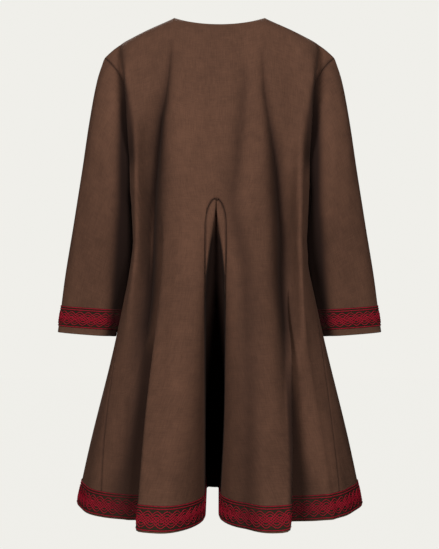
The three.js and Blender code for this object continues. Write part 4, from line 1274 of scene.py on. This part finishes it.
def cord_thread(name):
    """Crimson cord of two twisted strands, with a soft gloss, and painted shade in the folds as the wool
    has.
    """
    made = bpy.data.materials.new(name)
    made.use_nodes = True
    nodes, links = made.node_tree.nodes, made.node_tree.links
    shader = nodes["Principled BSDF"]
    shader.inputs["Roughness"].default_value = 0.62
    shader.inputs["Specular IOR Level"].default_value = 0.15
    shader.inputs["Sheen Weight"].default_value = 0.02
    shader.inputs["Sheen Tint"].default_value = (0.8, 0.25, 0.3, 1)
    cut = nodes.new("ShaderNodeUVMap")
    cut.uv_map = "cut"
    split = nodes.new("ShaderNodeSeparateXYZ")
    links.new(cut.outputs["UV"], split.inputs["Vector"])
    along = nodes.new("ShaderNodeMath")
    along.operation = "MULTIPLY_ADD"
    along.inputs[1].default_value = 2 * math.pi / STRAND_TWIST
    links.new(split.outputs["X"], along.inputs[0])
    twist = nodes.new("ShaderNodeMath")
    twist.operation = "MULTIPLY"
    twist.inputs[1].default_value = 2 * math.pi
    links.new(split.outputs["Y"], twist.inputs[0])
    links.new(twist.outputs[0], along.inputs[2])
    strand = nodes.new("ShaderNodeMath")
    strand.operation = "SINE"
    links.new(along.outputs[0], strand.inputs[0])
    fade = nodes.new("ShaderNodeTexNoise")
    fade.inputs["Scale"].default_value = 160
    fade.inputs["Detail"].default_value = 3
    place = nodes.new("ShaderNodeTexCoord")
    links.new(place.outputs["Object"], fade.inputs["Vector"])
    tone = nodes.new("ShaderNodeMath")
    tone.operation = "MULTIPLY_ADD"
    tone.inputs[1].default_value = 0.22
    links.new(strand.outputs[0], tone.inputs[0])
    links.new(fade.outputs["Fac"], tone.inputs[2])
    colour = nodes.new("ShaderNodeMix")
    colour.data_type = "RGBA"
    colour.inputs[6].default_value = CRIMSON_DEEP
    colour.inputs[7].default_value = CRIMSON
    links.new(tone.outputs[0], colour.inputs[0])
    # Painted shade on the cords, by the deep attribute.
    fold_shade = nodes.new("ShaderNodeAttribute")
    fold_shade.attribute_name = "deep"
    painted_shade_mix = nodes.new("ShaderNodeMix")
    painted_shade_mix.data_type = "RGBA"
    painted_shade_mix.inputs[7].default_value = CRIMSON_PAINTED_SHADE
    links.new(fold_shade.outputs["Fac"], painted_shade_mix.inputs[0])
    links.new(colour.outputs[2], painted_shade_mix.inputs[6])
    links.new(painted_shade_mix.outputs[2], shader.inputs["Base Color"])
    bump = nodes.new("ShaderNodeBump")
    bump.inputs["Strength"].default_value = 0.6
    bump.inputs["Distance"].default_value = 0.0004
    links.new(strand.outputs[0], bump.inputs["Height"])
    links.new(bump.outputs["Normal"], shader.inputs["Normal"])
    return made


crimson_cord = cord_thread("crimson cord")
strip_wool = wool("braid strip", (0.014, 0.008, 0.004, 1), (0.035, 0.02, 0.01, 1), (0.06, 0.035, 0.02, 1))


def make_braid(name, node, band, share_at):
    """One braid: its strip, and the cords on it, made together and attached to the root."""
    outer = band.points + band.normals * (BAND_STAND + BAND_THICK)
    strip_cloth = Cloth()
    strip_cloth.add(outer, backward=band.backward, wrap=True)
    strip = wall_mesh(name + "_strip", strip_cloth, wall=BAND_THICK)
    strip.data.materials.append(strip_wool)
    cords = cord_mesh(name + "_cords", band, BAND_STAND + BAND_THICK)
    cords.data.materials.append(crimson_cord)
    # Painted shade on the cords, by the same share as the cloth under them.
    paint_shade(cords, share_at)
    for piece in (strip, cords):
        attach(piece, "root")
        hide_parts(node)


band_drops = np.linspace(LENGTH - BAND_FOOT - BAND_HEIGHT, LENGTH - BAND_FOOT, 11)
band_grids = [
    grid_of(lambda u, v: back_lobe(1, u, v), lobe_columns, band_drops)[:, :-1],
    grid_of(lambda u, v: body(90 + u * (90 - side_edge(v)), v), gore_widths, band_drops)[:, :-1],
    grid_of(lambda u, v: front_surface(u, v, False), front_columns, band_drops)[:, :0:-1],
    grid_of(lambda u, v: body(-90 - u * (90 - side_edge(v)), v), gore_widths, band_drops)[:, :0:-1],
    grid_of(lambda u, v: back_lobe(-1, u, v), lobe_columns, band_drops)[:, :0:-1],
    grid_of(gore_surface, gore_across, band_drops)[:, :-1],
]
hem_band = Band(np.concatenate(band_grids, 1), 2.8)
make_braid("hem_braid", "hem_braid", hem_band, behind)

# ---------------------------------------------------------------------------
# Cuff braids: the same crimson cords on the same dark wool strip, closed into a ring round each
# sleeve and sewn on flat, a little above its end.

CUFF_SHARES = np.linspace(0.9, 0.976, 9)
for name, turn in (("left", 1), ("right", -1)):
    cuff_grid = grid_of(lambda u, v: sleeve_surface(turn, u, v), sleeve_angles, CUFF_SHARES)
    cuff_band = Band(cuff_grid, 2.4, backward=turn > 0)
    make_braid("cuff_braid_" + name, "cuff_braid_" + name, cuff_band, sleeve_painted_shade)

# ---------------------------------------------------------------------------
# Floor and light: a round pale studio whose floor curves up into its wall, evenly bright of itself
# and giving the cloth no light, with two large soft lamps behind the tunic and one before it.
FLOOR_HEIGHT, FLOOR_RADIUS, CURVE, WALL_TOP, SIDES = -1.30, 5.3, 1.2, 6.0, 72
profile = [(FLOOR_RADIUS, FLOOR_HEIGHT)]
for step in range(1, 13):
    angle = math.radians(90 * step / 12)
    profile.append((FLOOR_RADIUS + CURVE * math.sin(angle), FLOOR_HEIGHT + CURVE * (1 - math.cos(angle))))
profile.append((FLOOR_RADIUS + CURVE, WALL_TOP))
turns = [2 * math.pi * n / SIDES for n in range(SIDES)]
studio_points = [(r * math.sin(turn), r * math.cos(turn), z) for r, z in profile for turn in turns]
studio_faces = [tuple(range(SIDES))]
for ring in range(len(profile) - 1):
    for n in range(SIDES):
        a, b = ring * SIDES + n, ring * SIDES + (n + 1) % SIDES
        studio_faces.append((a, b, b + SIDES, a + SIDES))
studio_mesh = bpy.data.meshes.new("studio")
studio_mesh.from_pydata(studio_points, [], studio_faces)
studio_mesh.polygons.foreach_set("use_smooth", np.ones(len(studio_mesh.polygons), bool))
studio = bpy.data.objects.new("studio", studio_mesh)
bpy.context.scene.collection.objects.link(studio)
paper = bpy.data.materials.new("pale paper")
paper.use_nodes = True
paper_shader = paper.node_tree.nodes["Principled BSDF"]
paper_shader.inputs["Base Color"].default_value = (0.02, 0.02, 0.019, 1)
paper_shader.inputs["Roughness"].default_value = 1.0
paper_shader.inputs["Specular IOR Level"].default_value = 0.0
paper_shader.inputs["Emission Color"].default_value = (0.868, 0.86, 0.82, 1)
paper_shader.inputs["Emission Strength"].default_value = 1.0
studio.visible_diffuse = False
studio.visible_glossy = False
studio_mesh.materials.append(paper)


LAMP_SIZE, LAMP_TARGET = 0.8, Vector((0, 0, -0.55))


def lamp(name, place, power):
    light = bpy.data.lights.new(name, "AREA")
    light.shape, light.size, light.energy = "DISK", LAMP_SIZE, power
    holder = bpy.data.objects.new(name, light)
    holder.location = place
    holder.rotation_euler = (LAMP_TARGET - Vector(place)).to_track_quat("-Z", "Y").to_euler()
    bpy.context.scene.collection.objects.link(holder)


lamp("left lamp", (1.25, 2.8, 0.6), 66)
lamp("right lamp", (-1.1, 2.85, 0.6), 54)
lamp("front lamp", (0.5, -3.0, 2.3), 100)
world = bpy.data.worlds.new("studio")
world.use_nodes = True
world.node_tree.nodes["Background"].inputs["Strength"].default_value = 0.0
bpy.context.scene.world = world
bpy.context.scene.view_settings.view_transform = "Standard"
